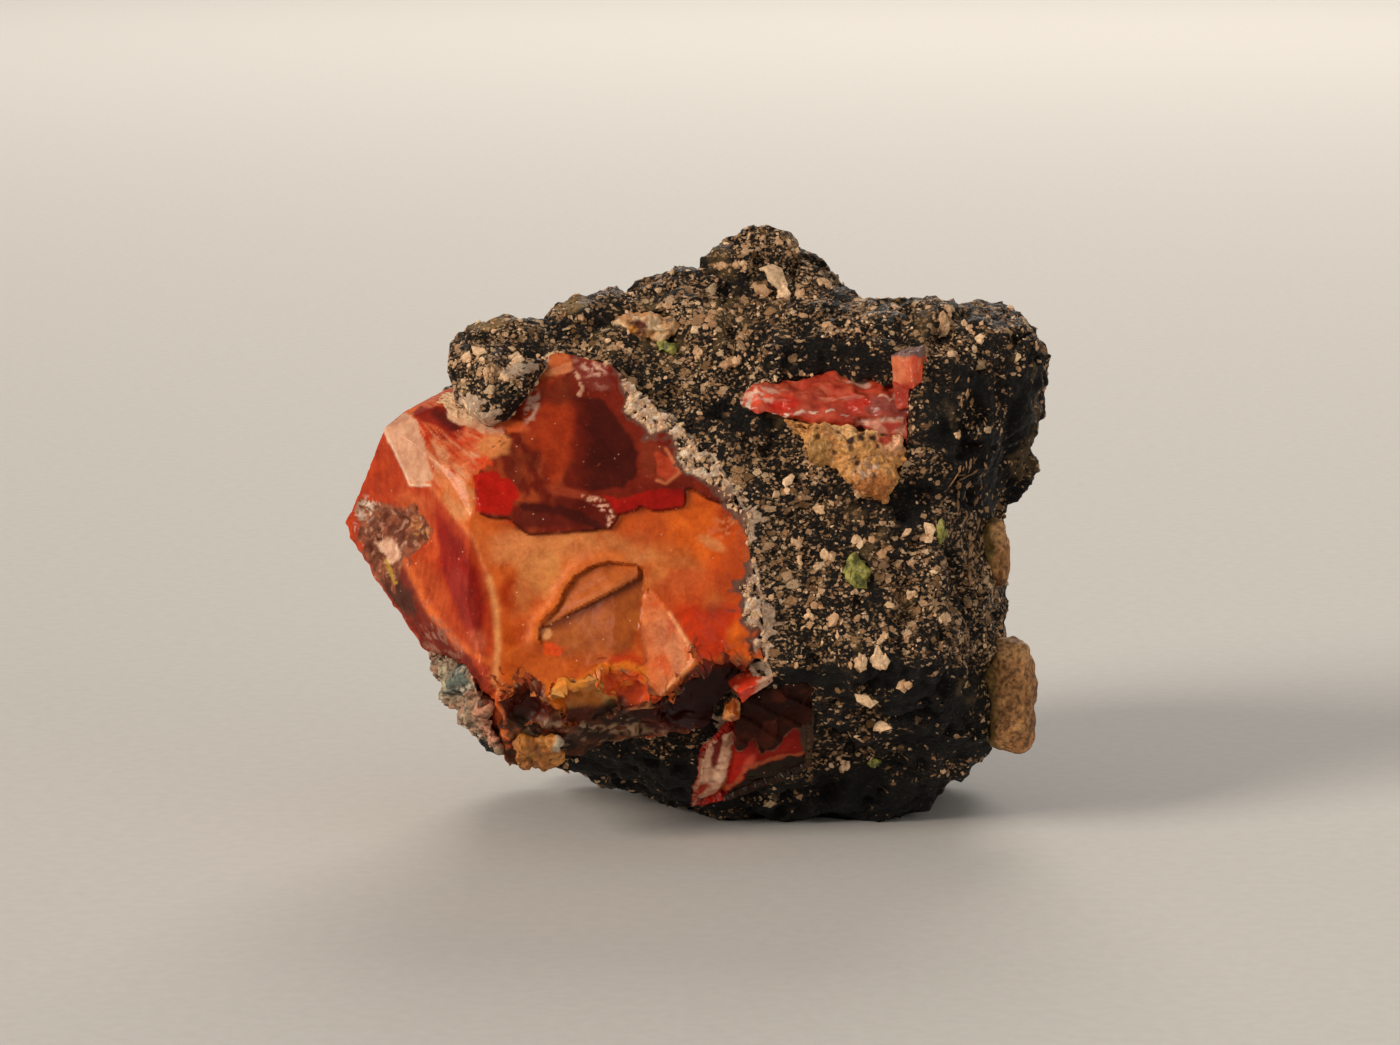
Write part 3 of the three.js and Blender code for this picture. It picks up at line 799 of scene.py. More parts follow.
# %% Painting the carnelian
places = places_of(carnelian)
normals = normals_of(carnelian)
spots = seen(places)
u, v = spots[:, 0], spots[:, 1]
facing = toward_eye(places, normals)
front = step(facing, -0.1, 0.15) * (places[:, 1] < -6)
small = bumps(places, 1.4, seed=21)
medium = bumps(places, 4, seed=22)
large = bumps(places, 9, seed=23)
upright = bumps(places * (1, 1, 0.16), 1.3, seed=24)
shaken = spots + np.stack([small, bumps(places, 1.4, seed=25)], axis=1) * 0.3

LEFT_OF_RIDGE = [
    (-38, 9.4), (-31.8, 9.55), (-29.5, 4.96), (-29, 3.74), (-26.9, 3.74), *RIDGE, (-30, -28), (-40, -10),
]  # fmt: skip
left_side = step(inside_by(spots, LEFT_OF_RIDGE), -0.05, 0.1) * (facing > 0)
left_side = np.maximum(left_side, (places[:, 0] < -26) * (facing < 0) * (places[:, 2] < 43))
skin_inside = step(in_skin, -0.12, 0.08) * front

RED_CORNER = [(-3.1, -8.8), (-0.6, -8.2), (4, -8.6), (5.6, -12), (4.5, -14.4), (0, -14.6), (-0.7, -12.9)]
GROUND_LAYERS = [
    (step(medium, 0.05, 0.7) * 0.55, PALE_ORANGE),
    (step(large, 0.1, 0.6) * 0.5, DEEP_ORANGE),
    (blot((-16.5, -2.2), (5, 1.9), 6), (0.78, 0.26, 0.08)),
    (blot((-10, -2.6), (6, 1.7), -5) * 0.9, (0.73, 0.24, 0.068)),
    (blot((-15.5, -5.2), (2.2, 2.2), 40) * 0.8, (0.68, 0.28, 0.08)),
    (blot((-2.5, -5), (2.8, 2)) * 0.5, PALE_ORANGE),
    (blot((0.4, -0.6), (3.6, 3)) * 0.7, (0.88, 0.16, 0.014)),
    (blot((3, -5), (1.8, 7)) * 0.7, DEEP_ORANGE),
    (blot((-1.6, -6.6), (2.6, 2.2), wobble=0.6) * 0.6, (0.65, 0.076, 0.016)),
    (within(RED_CORNER, 0.8) * 0.9, (0.65, 0.036, 0.003)),
    (blot((3.9, -11.4), (1.4, 1.9)) * 0.8, (0.81, 0.16, 0.011)),
    (blot((-18.4, -7.4), (1.6, 1.9), 8, wobble=0.3), (0.47, 0.045, 0.002)),
    (blot((-19.3, -13), (1.1, 3), wobble=0.5), (0.59, 0.092, 0.005)),
    (blot((-18.2, 0.2), (1.2, 1), wobble=0.9) * 0.7, (0.78, 0.071, 0.016)),
    (blot((-17, -6.4), (1.4, 3.4), -25, wobble=0.5) * 0.7, PALE_ORANGE),
    (within(SCAR, 0.5) * 0.9, OLIVE),
    (blot((-12.5, -11), (2.4, 1.4), 30) * 0.5, (0.49, 0.13, 0.024)),
    (within(SPLINTER, 0.15) * 0.95, (0.56, 0.13, 0.022)),
    # Painted highlight along the splinter's crest, and below the crest a painted shadow.
    (glow(CREST, 0.55) * (in_splinter > 0) * 0.7, (0.72, 0.22, 0.06)),
    (glow([(x, y - 0.35) for x, y in CREST], 0.6) * (in_splinter < 0) * 0.9, (0.17, 0.032, 0.008)),
    # A dark line under the arc's lip: partly a crack, partly painted shadow.
    (glow(SCAR_ARC[2:8], 0.13) * (in_scar > -0.1) * 0.8, (0.13, 0.018, 0.005)),
    # Painted highlight on the raised lip outside the arc.
    (glow([(x - 0.5, y + 0.5) for x, y in SCAR_ARC[1:]], 0.8) * (in_scar < 0) * 0.8, (0.86, 0.2, 0.03)),
    # The lip's painted highlight runs on, fainter, down to the left.
    (glow([(-16.4, -11.2), (-17.6, -12.4), (-19.1, -13.4)], 0.5) * 0.3, (0.86, 0.24, 0.05)),
    (blot((-17, -13.3), (2.2, 1.1), 20, wobble=0.7) * 0.7, (0.42, 0.065, 0.006)),
    (blot((-6.2, -0.9), (2.4, 1.6), wobble=0.8) * 0.6, (0.56, 0.075, 0.012)),
    (blot((-13, -14.6), (5, 1.4), 8) * 0.7, (0.55, 0.1, 0.011)),
    (blot((-9.4, -15), (3.4, 0.8), 14) * 0.8, (0.73, 0.12, 0.01)),
    (blot((-7, -14.6), (1.6, 1.4), wobble=0.6) * 0.8, (0.65, 0.041, 0.005)),
    (within(PINK_FACET, 0.1) * step(u + 0.35 * v, -12.6, -9), WARM_PINK),
    (within(PINK_FACET, 0.1) * blot((-2.4, -12.4), (1.8, 3), 20), (0.95, 0.33, 0.14)),
    (within(PINK_FACET, 0.1) * step(bumps(places * (1, 1, 0.5), 1.1, seed=31), 0.1, 0.6) * 0.5,
     (0.91, 0.1, 0.016)),
    # Painted highlight along the pink facet's edge.
    (glow(PINK_FACET[1:5], 0.18) * 0.8, (0.95, 0.51, 0.24)),
    (blot((-15.4, -11.1), (0.55, 0.55), wobble=0.1, edge=0.2), (0.81, 0.35, 0.13)),
    (within([(-15.7, -12.2), (-14.6, -11.9), (-13.3, -12.6), (-14, -13.5), (-15.5, -13.3)]),
     (0.86, 0.092, 0.006)),
    (blot((1.4, -2.2), (1.4, 0.5), -25), (0.72, 0.22, 0.064)),
    (blot((2.9, 0.2), (1.1, 1.6), wobble=0.8) * grit(0.6, 32, 0.2), (0.86, 0.29, 0.11)),
    (blot((2.6, 1.2), (0.5, 0.9), wobble=0.8) * 0.8, (0.45, 0.041, 0.008)),
    (step(u, 2, 5.6) * step(v, 4, 1) * grit(0.8, 33, -0.2) * front * 0.6, (0.47, 0.051, 0.016)),
]  # fmt: skip

WARM_SKIN = [(-17.4, 14.4), (-14.4, 14.4), (-12.5, 11.1), (-13.1, 5.6), (-15, 3.4), (-16, 8), (-17.6, 10.4)]
SKIN_TOP = [
    (-18.3, 16), (-16.4, 17.2), (-12, 17.4), (-12.2, 15.8), (-14.2, 14.5), (-16.6, 14.3), (-18.8, 13.2),
]  # fmt: skip
RED_FRINGE = [
    (-10, 2.8), (-8.2, 2.2), (-6.5, 2.7), (-4, 3.4), (-1.4, 3.4), (-1.4, 1.3), (-3.1, 1.1), (-6, 1),
    (-8.2, 0.8),
]  # fmt: skip
SKIN_LAYERS = [
    (skin_inside, SKIN_RED),
    (skin_inside * step(upright, -0.2, 0.5) * step(u, -12.6, -14.5), SKIN_LIGHT),
    (within([(-9, 14), (-6, 10), (-3, 7), (0, 4.4), (3, 2.4), (-1, 3.4), (-6, 4.4), (-7.6, 9.4)], 0.5) * 0.6,
     (0.24, 0.022, 0.007)),
    (within(WARM_SKIN, 0.6) * 0.7, (0.5, 0.05, 0.008)),
    (blot((-13.6, 13), (1.6, 1.7), wobble=0.7) * 0.7, (0.14, 0.02, 0.006)),
    (within([(-14, 13), (-9.5, 12), (-7.6, 9.5), (-6.1, 7.1), (-6.3, 5), (-7.6, 3.4), (-14, 3.4)], 0.2)
     * step(u + 0.9 * medium, -13.2, -10.4), SKIN_DARK),
    (blot((-16.8, 6.4), (0.8, 2.6), 6, wobble=0.7) * 0.45, SKIN_DARK),
    (blot((-16.6, 9.6), (1.2, 2), 6, wobble=0.6) * 0.6, (0.52, 0.055, 0.01)),
    (blot((-18.6, 5.4), (1.3, 2), 20, wobble=0.7) * 0.5, (0.12, 0.012, 0.004)),
    (within([(-18.4, -0.6), (-9, -0.4), (-9.2, 1.4), (-12, 2.4), (-18, 2)], 0.4) * 0.85,
     (0.13, 0.01, 0.004)),
    (along([(-17.6, 1.6), (-14, 1.2), (-10.4, -0.2)], 0.6) * 0.8, (0.06, 0.006, 0.003)),
    (blot((-13, 3), (3, 0.5), -12) * 0.7, (0.42, 0.06, 0.02)),
    (within([(-22.6, 4.8), (-20.5, 5.2), (-18.6, 3.7), (-18, 2.8), (-19.2, 0.7), (-22.4, 0.9)], 0.15),
     BRIGHT_RED),
    (within(RED_FRINGE, 0.15) * skin_inside, (0.42, 0.008, 0.003)),
    (within([(-6, 8.2), (-3.6, 7.6), (-2, 5), (-3.4, 4), (-5.6, 4.6)], 0.2), (0.24, 0.03, 0.01)),
    (within([(-4.6, 6.9), (-3, 6.6), (-2, 5), (-3.4, 4), (-4.3, 5)], 0.1), (0.5, 0.06, 0.02)),
    # Painted highlight on the small chip's rim.
    (glow([(-3.4, 7.4), (-2, 5), (-3.4, 3.9), (-4.3, 4.2)], 0.16) * 0.9, (0.8, 0.24, 0.1)),
    (along([(-11.4, 2.6), (-9.9, 2), (-9.2, 1), (-8.8, 0)], 0.45) * grit(0.5, 34, 0.3), (0.8, 0.42, 0.28)),
    (within(SKIN_TOP, 0.2 + 0.3 * (small > 0)), (0.6, 0.13, 0.035)),
    (within([(-15.6, 14.9), (-12.2, 16.6), (-11.9, 15.7), (-13.6, 14.8), (-15, 14.5)], 0.12),
     (0.78, 0.27, 0.11)),
    (within([(-13.4, 17.2), (-9.6, 16), (-8.6, 13.6), (-10.6, 13), (-12, 14.2)], 0.2),
     (0.24, 0.035, 0.022)),
    (blot((-10.4, 15.4), (2, 1.3), -30, wobble=0.7) * grit(0.6, 35, 0.2), (0.66, 0.36, 0.26)),
    (blot((-9.6, 14.6), (1.2, 1.5), -30, wobble=0.7) * grit(1.1, 35, 0) * 0.7, (0.5, 0.22, 0.16)),
    (along([(-12.4, 15.2), (-11.6, 13.6), (-12.2, 12.8)], 0.3) * grit(0.6, 35, 0.6), (0.66, 0.34, 0.22)),
    # Painted shadow along the skin's step.
    (glow(SKIN[:21], 0.22) * skin_inside * 0.8, (0.04, 0.004, 0.002)),
    (skin_inside * grit(0.45, 36, -1) * 0.6, (0.4, 0.1, 0.04)),
]  # fmt: skip

TAIL = [
    (-23.5, -12.8), (-22, -15.2), (-21.1, -17.7), (-20.3, -20.1), (-19.4, -23), (-18.8, -22.4),
    (-19.6, -19), (-19.9, -16.1), (-20.2, -13.4),
]  # fmt: skip
MAROON_BAND = [
    (-26.4, 1.2), (-25.6, 0.6), (-24.2, -1.6), (-22.3, -5), (-21.4, -8.8), (-21.7, -12.2), (-22.4, -12.2),
    (-23.9, -9), (-25.4, -6), (-26.5, -3),
]  # fmt: skip
PURPLE_SIDE = [
    (-33, -2.2), (-29.7, -3.6), (-27.2, -9), (-24.4, -12.6), (-21.2, -14.4), (-20.2, -17), (-19.4, -24),
    (-30, -20), (-36, -6),
]  # fmt: skip
LEFT_LAYERS = [
    (left_side, LEFT_RED),
    (behind * step(large, -0.1, 0.4) * 0.9, (0.36, 0.02, 0.006)),
    (behind * step(medium, 0.15, 0.6) * 0.8, (0.78, 0.24, 0.07)),
    (behind * grit(1.1, 57, -0.2) * 0.8, (0.2, 0.06, 0.03)),
    (behind * grit(1.6, 58, -0.7), (0.62, 0.4, 0.26)),
    (rock_rim, (0.2, 0.12, 0.08)),
    (rock_rim * grit(0.8, 59, 0), CHALK),
    (left_side * step(upright, 0, 0.6) * 0.5 * front, (0.54, 0.09, 0.028)),
    (blot((-28.4, 1.6), (1.8, 1.6), 20) * left_side, GLOWING),
    (within(MAROON_BAND, 0.5) * left_side, MAROON),
    (blot((-23.5, -8), (1, 3.6), 18) * left_side * 0.6, (0.34, 0.03, 0.02)),
    (blot((-22.4, -12), (1.1, 1.3)) * left_side * 0.8, (0.6, 0.12, 0.05)),
    (blot((-27, -6.4), (1.1, 3.2), 28) * left_side * 0.8, (0.6, 0.1, 0.022)),
    (blot((-27.2, -1.4), (0.9, 2.6), 10) * left_side * 0.7, (0.7, 0.1, 0.02)),
    (blot((-24.6, -11.6), (1.4, 2), 40) * left_side * 0.7, (0.56, 0.07, 0.014)),
    # The lower left facet turns down: its purple red is partly its own colour, partly painted shade.
    (within(PURPLE_SIDE, 0.15), SHADED_PURPLE_RED),
    (within(TAIL, 0.2), (0.44, 0.045, 0.014)),
    (within(TAIL, 0.2) * step(u + 0.4 * small, -21.4, -20.1), (0.72, 0.13, 0.02)),
    (blot((-24.4, -16), (1.4, 3.4), 35) * left_side * 0.7, (0.3, 0.035, 0.018)),
    # Painted highlight along the edge above the lower left facet.
    (glow([(-29.7, -3.4), (-27.1, -8.7), (-24.2, -12.2), (-21.2, -14)], 0.4), (0.78, 0.16, 0.035)),
    (blot((-30.2, -7), (0.9, 3), 30) * 0.8, (0.06, 0.025, 0.015)),
    (blot((-26.4, -13), (2, 2.8), 40, wobble=0.8) * grit(0.7, 37, 0.2), (0.34, 0.14, 0.09)),
    # Painted highlight along the ridge.
    (glow(RIDGE, 0.28) * 0.7, (0.78, 0.22, 0.07)),
    (glow(RIDGE[3:8], 0.34) * 0.8, (0.85, 0.36, 0.12)),
    (step(in_dirt, -0.1, 0.3) * front, DIRT),
    (step(in_dirt, -0.1, 0.3) * grit(1.2, 38, 0.2) * front * 0.7, (0.44, 0.14, 0.07)),
    (step(in_dirt, -0.1, 0.3) * grit(0.7, 39, -0.3) * front * 0.7, (0.72, 0.4, 0.27)),
    (blot((-28, -0.6), (1.1, 1.2), wobble=0.6) * grit(0.5, 40, 0.2), (0.64, 0.3, 0.1)),
    (blot((-33.3, 1.2), (0.9, 1.2), wobble=0.7) * grit(0.6, 41, 0.4), CHALK),
    (within([(-32.4, -2), (-31, -1.6), (-29.7, -2.7), (-30, -3.7), (-31, -4.2), (-31.6, -3)], 0.12),
     (0.92, 0.6, 0.42)),
    (along([(-31.4, -3.9), (-30.7, -5.4), (-30.3, -6)], 0.3), (0.55, 0.34, 0.05)),
]  # fmt: skip

# Streaks that fan out from a spot above the corner: the turn about it, and the way out from it drawn long.
from_apex = spots - (-30.4, 13.4)
turned_by = np.arctan2(from_apex[:, 1], from_apex[:, 0])
fan = np.stack([12 * turned_by, 0.22 * np.hypot(*from_apex.T), 0 * u], axis=1)
streak, thin_streak = bumps(fan, 0.8, seed=27), bumps(fan, 0.36, seed=28)
CORNER = [
    (-28.7, 10.7), (-26, 13.4), (-22.6, 12.8), (-19.4, 10.4), (-20.4, 7.6), (-22.4, 4.9), (-24.5, 3.2),
    (-26.8, 3.6),
]  # fmt: skip
in_corner = within(CORNER, 0.25)
DARK_CORNER = [
    (-28.7, 10.9), (-27.8, 11.6), (-26.2, 11.6), (-24.6, 11.2), (-23.3, 9.7), (-23.9, 8.9), (-25.6, 9.1),
    (-26.9, 9.8), (-27.9, 10),
]  # fmt: skip
CORNER_LAYERS = [
    (in_corner, (0.7, 0.13, 0.04)),
    (in_corner * step(streak, 0.05, 0.4), (0.62, 0.04, 0.01)),
    (in_corner * step(streak, -0.1, -0.4) * step(v, 9.6, 8), (0.84, 0.42, 0.24)),
    (in_corner * step(thin_streak, 0.1, 0.4) * 0.7, (0.84, 0.3, 0.13)),
    (blot((-26.4, 7), (0.9, 2), 12, wobble=0.7) * step(thin_streak, -0.4, 0.2), (0.84, 0.36, 0.17)),
    (blot((-24.8, 4.8), (2.2, 1), 14, wobble=0.7) * step(thin_streak, -0.5, 0.1), (0.86, 0.3, 0.12)),
    (blot((-24.2, 2.4), (1.2, 1.9), 30, wobble=0.5) * 0.8, (0.76, 0.32, 0.12)),
    (blot((-21.8, 6), (1.5, 0.9), 20, wobble=0.8) * step(thin_streak, -0.3, 0.3), (0.78, 0.08, 0.018)),
    (blot((-23.4, 8), (1.4, 0.8), 20, wobble=0.7) * step(thin_streak, -0.4, 0.2) * 0.8,
     (0.68, 0.05, 0.012)),
    (within(DARK_CORNER, 0.15 + 0.5 * step(v, 9.6, 8.8)), (0.3, 0.02, 0.008)),
    (within([(-27.2, 11.2), (-25, 11), (-23.8, 9.8), (-24.2, 9.2), (-25.6, 9.5)], 0.5),
     (0.12, 0.012, 0.007)),
    (within([(-27.4, 9.9), (-25, 9.3), (-23.6, 8.8), (-24.6, 8.2), (-27, 8.6)], 0.4)
     * step(thin_streak, -0.1, 0.3),
     (0.36, 0.02, 0.007)),
    (blot((-23, 11.4), (1.8, 1), -34, wobble=0.8) * 0.8, (0.74, 0.42, 0.28)),
    (blot((-21.4, 10.4), (2.2, 1.9), 40, wobble=0.8) * grit(0.8, 42, 0.5), (0.7, 0.4, 0.28)),
    (blot((-22, 11), (1.9, 1.2), 40, wobble=0.8) * grit(0.5, 43, 0.1), CHALK),
    (blot((-20.9, 7.7), (1.7, 1.1), 10, wobble=0.5) * 0.9, (0.74, 0.25, 0.075)),
    (blot((-18.6, 9.7), (1.5, 0.6), -10, wobble=0.5) * 0.9, (0.7, 0.12, 0.03)),
    (blot((-16.8, 11.6), (0.6, 1.8), -12, wobble=0.5) * grit(0.6, 45, 0.6), (0.76, 0.44, 0.33)),
    (blot((-19.7, 8.2), (0.9, 0.5), 20, wobble=0.8) * grit(0.5, 44, -0.1), (0.1, 0.05, 0.03)),
    (along([(-24.9, 10.6), (-23.2, 10.1), (-21.8, 9.5)], 0.5), (0.8, 0.45, 0.27)),
    (blot((-24.7, 3.3), (2.3, 0.8), -42, wobble=0.2) * 0.9, (0.72, 0.2, 0.055)),
    (within(PALE_FACET, 0.06), PALE_PINK),
    (within(PALE_FACET, 0.06) * step(v + 0.6 * small, 8, 4.6) * 0.5, (0.7, 0.36, 0.22)),
    # Painted highlight along the pale facet's edges.
    (glow([(-31.7, 9.5), (-29.5, 4.96), (-29, 3.74), (-27, 3.74)], 0.12), (0.9, 0.6, 0.42)),
]  # fmt: skip

CHIP_COLOURS = [
    (-0.8, (0.1, 0.018, 0.008)), (-0.4, (0.05, 0.012, 0.006)), (0, (0.17, 0.045, 0.016)),
    (0.4, (0.13, 0.012, 0.005)), (0.8, (0.26, 0.09, 0.045)),
]  # fmt: skip
chipped = front * (1 - step(inside_by(spots, TAIL), -0.1, 0.1))
SEAM_MIDDLE = [(2.6, 2.4), (3.9, 0.8), (4.7, -1.8), (4.3, -4.4), (4.2, -7)]
EDGE_LAYERS = [
    # Below the lower edge the stone turns down and is painted nearly black: partly its own dark brown red,
    # partly painted shade.
    (below_edge * chipped, UNDERSIDE_SHADE),
    *[(under * chipped * (abs(chip_pick - middle) < 0.2), colour) for middle, colour in CHIP_COLOURS],
    # Painted shade in the middles of the small chips.
    (under * chipped * step(chip_deep + 0.4 * small, 0.2, 0.7) * 0.5, (0.02, 0.006, 0.004)),
    # Painted highlight on the chips' rims.
    (under * chipped * step(chip_rim, 0.3, 0.08) * step(medium, -0.4, 0.2), (0.42, 0.16, 0.06)),
    (under * chipped * step(from_edge, 1, 0.2) * step(small, -0.3, 0.3) * 0.9, (0.5, 0.09, 0.015)),
    (IN_AMBER, (0.8, 0.27, 0.035)),
    (IN_AMBER * step(small, 0, 0.5), (0.8, 0.4, 0.12)),
    # The amber hollow's lower part, which turns down, is painted dark: painted shade.
    (IN_AMBER * step(v + 0.4 * small, -17.8, -18.8), (0.1, 0.018, 0.006)),
    (IN_RED, (0.72, 0.08, 0.01)),
    (IN_RED * step(small + 0.3 * (v + 16.4), 0.1, 0.6), (0.85, 0.2, 0.02)),
    # The red hollow's lower part, which turns down, is painted dark: painted shade.
    (IN_RED * step(v + 0.4 * small, -17.4, -18.6), (0.1, 0.016, 0.005)),
    (within([(-15.7, -15.9), (-14.9, -18), (-13.9, -19.2), (-13, -17.4), (-12, -16)], 0.2),
     (0.72, 0.17, 0.012)),
    (along([(-15, -17), (-12, -16), (-9.6, -14.5), (-7.4, -14.2), (-5.6, -15)], 0.55), (0.78, 0.19, 0.014)),
    # The notch is a face that turns down and is painted dark all over, lighter at its top: painted shade.
    (IN_NOTCH, (0.1, 0.012, 0.005)),
    (IN_NOTCH * step(v + 0.3 * small, -17.4, -16.2) * 0.7, (0.34, 0.05, 0.008)),
    (IN_NOTCH * step(v + 0.3 * small, -18.8, -19.8) * 0.8, (0.2, 0.07, 0.04)),
    # The dark shell is painted dark: partly its own dark red, partly painted shade in the hollow.
    (IN_DARK, (0.04, 0.006, 0.004)),
    (IN_DARK * step(v - 0.25 * u + 0.5 * small, -15.6, -14.4), (0.16, 0.014, 0.005)),
    (IN_DARK * step(u + 0.6 * small, 3.4, 5), (0.36, 0.022, 0.008)),
    (rubble * chipped, (0.035, 0.018, 0.011)),
    (rubble * grit(1.6, 46, 0.1) * front, (0.1, 0.032, 0.014)),
    (rubble * grit(2.4, 49, -0.5) * front, (0.2, 0.065, 0.022)),
    (rubble * grit(1, 47, -0.5), (0.27, 0.17, 0.1)),
    (blot((-9, -20.6), (6, 0.5), -4, wobble=0.8) * grit(0.8, 50, 0.2) * below_edge, (0.36, 0.22, 0.13)),
    # Painted highlight along the lower edge.
    (glow(LOWER_EDGE[6:], 0.2) * 0.5 * (1 - IN_DARK), (0.8, 0.2, 0.02)),
    (step(in_seam, -0.3, 0.1) * front, (0.17, 0.06, 0.04)),
    (on_seam, (0.56, 0.38, 0.27)),
    (on_seam * grit(0.9, 29, 0.2), (0.95, 0.77, 0.6)),
    # The pits in the seam are painted dark: painted shade in them.
    (seam_pits, (0.04, 0.025, 0.018)),
    (step(in_seam, -0.2, 0.2) * along(SEAM_MIDDLE, 1.3), (0.2, 0.1, 0.07)),
    (on_seam * along(SEAM_MIDDLE, 1.3) * grit(0.6, 26, -0.1), (0.4, 0.26, 0.19)),
]  # fmt: skip
paint(carnelian, ORANGE, [*GROUND_LAYERS, *SKIN_LAYERS, *LEFT_LAYERS, *CORNER_LAYERS, *EDGE_LAYERS])
store(carnelian, "left_side", left_side)
DULL_SIDE = [(-33, -2.2), (-29.7, -3.6), (-27.2, -9), (-24.4, -12.6), (-21.2, -14.4), (-19.4, -24), (-36, -6)]
dull = [
    step(in_dirt, -0.1, 0.4) * front, rubble,
    0.6 * np.maximum(step(from_arc, 2.4, 1.2), step(in_scar, -0.2, 0.4)) * front, 0.5 * under, rock_rim,
    step(in_seam, -0.5, 0) * front, step(facing, 0.05, -0.3), 0.9 * within(DULL_SIDE),
]  # fmt: skip
store(carnelian, "dull", np.max(dull, axis=0))

# %% [markdown]
# The shader adds what is finer than a vertex: clouds and a finer mottle inside the stone, a dusting of
# pale specks that are partly the stone's own and partly painted glints, faint upright streaks on the left
# side, and a gloss that is waxy rather than wet. A little light goes into the stone and comes out orange.

# %% The carnelian finish
chalcedony = Finish(
    "chalcedony",
    Subsurface_Weight=0.2,
    Subsurface_Radius=(1.0, 0.2, 0.05),
    Subsurface_Scale=1.2 * MM,
    Specular_IOR_Level=0.18,
    IOR=1.54,
)
tint = chalcedony.painted("tint").outputs["Color"]
dull_here = chalcedony.painted("dull").outputs["Fac"]
left_here = chalcedony.painted("left_side").outputs["Fac"]
cloud = chalcedony.clouds(2.6, detail=6, roughness=0.6, distortion=0.4).outputs[0]
fine = chalcedony.clouds(0.35, detail=5, roughness=0.7).outputs[0]
streaks = chalcedony.clouds(0.7, detail=4, vector=chalcedony.turned((1, 1, 0.1), (0, 14, 0))).outputs[0]
CLOUD_SHADES = ((0.28, (0.66, 0.52, 0.46)), (0.5, (0.95, 0.95, 0.95)), (0.74, (1.14, 1.22, 1.25)))
shade = chalcedony.ramp(cloud, *CLOUD_SHADES)
colour = chalcedony.mix(1.0, tint, shade, "MULTIPLY")
mottle = chalcedony.clouds(0.9, detail=5, roughness=0.65, distortion=0.6).outputs[0]
mottle_shade = chalcedony.ramp(mottle, (0.36, (0.88, 0.8, 0.76)), (0.62, (1.05, 1.09, 1.1)))
colour = chalcedony.mix(1.0, colour, mottle_shade, "MULTIPLY")
fine_shade = chalcedony.ramp(fine, (0.3, (0.9, 0.86, 0.84)), (0.68, (1.04, 1.07, 1.08)))
colour = chalcedony.mix(1.0, colour, fine_shade, "MULTIPLY")
streak_shade = chalcedony.ramp(streaks, (0.36, (0.72, 0.6, 0.55)), (0.62, (1.14, 1.2, 1.2)))
colour = chalcedony.mix(chalcedony.math("MULTIPLY", left_here, 0.6), colour,
                        chalcedony.mix(1.0, colour, streak_shade, "MULTIPLY"))  # fmt: skip
# Pale specks, partly the stone's own and partly painted glints.
speck = chalcedony.step(chalcedony.cells(0.7).outputs["Distance"], 0.15, 0.08)
speck_clouds = chalcedony.step(chalcedony.clouds(1.6).outputs[0], 0.56, 0.62)
speck_and_glint_share = chalcedony.math("MULTIPLY", speck, speck_clouds)
colour = chalcedony.mix(chalcedony.math("MULTIPLY", speck_and_glint_share, 0.65), colour, (0.85, 0.52, 0.36))
gloss = chalcedony.math("ADD", 0.12, chalcedony.math("MULTIPLY", fine, 0.24))
gloss = chalcedony.math("MAXIMUM", gloss, chalcedony.math("MULTIPLY", dull_here, 0.75))
surface = chalcedony.relief(fine, 0.02)
surface = chalcedony.relief(chalcedony.clouds(1.3, detail=3).outputs[0], 0.12, over=surface)
settled(carnelian, "carnelian", chalcedony.finish(colour, gloss, surface), crease=32)

# %% [markdown]
# ## The pink seam and the lower carnelian
#
# Two smaller carnelians break the dark rock. The seam under the brow is a glossy strip with a lumpy back,
# a bright red left end, whitish streaks and a square chip standing at its right end. The lower one is cut
# through: grey-white chalk on its left, blood red in the middle and dark plates lying over it. Both start
# as copies of their nodes, rebuilt in fine squares, and get their lumps and steps in the vertices.

# %% The seam
SEAM_SQUARE = 0.16

seam = copy_of("carnelian_seam", "pink_seam")
remeshed(seam, SEAM_SQUARE)
places, normals = places_of(seam), normals_of(seam)
spots = seen(places)
front = step(toward_eye(places, normals), -0.1, 0.15)
small = bumps(places, 0.8, seed=41)
medium = bumps(places, 2, seed=42)
rise = 0.45 * medium + 0.04 * small
rise -= 0.6 * np.exp(-((spots[:, 0] - 9.8) ** 2) / 1.6) * step(spots[:, 1], 12.8, 13.6)
rise -= 0.5 * step(spots[:, 1], 10.7, 10.3) * step(spots[:, 0], 15, 16.4)
put(seam, places + normals * rise[:, None])
shaken = spots + np.stack([small, bumps(places, 0.8, seed=43)], axis=1) * 0.2
level = bumps(places * (0.22, 1, 1), 0.7, seed=48)
cloudy = bumps(places, 1.6, seed=49)
SEAM_WHITES = [
    (3.4, 11.6), (5.9, 10.8), (8.8, 10.8), (11.7, 11.1), (13.8, 11.1), (15.4, 10.5), (17, 10.3),
    (20.3, 10.5),
]  # fmt: skip
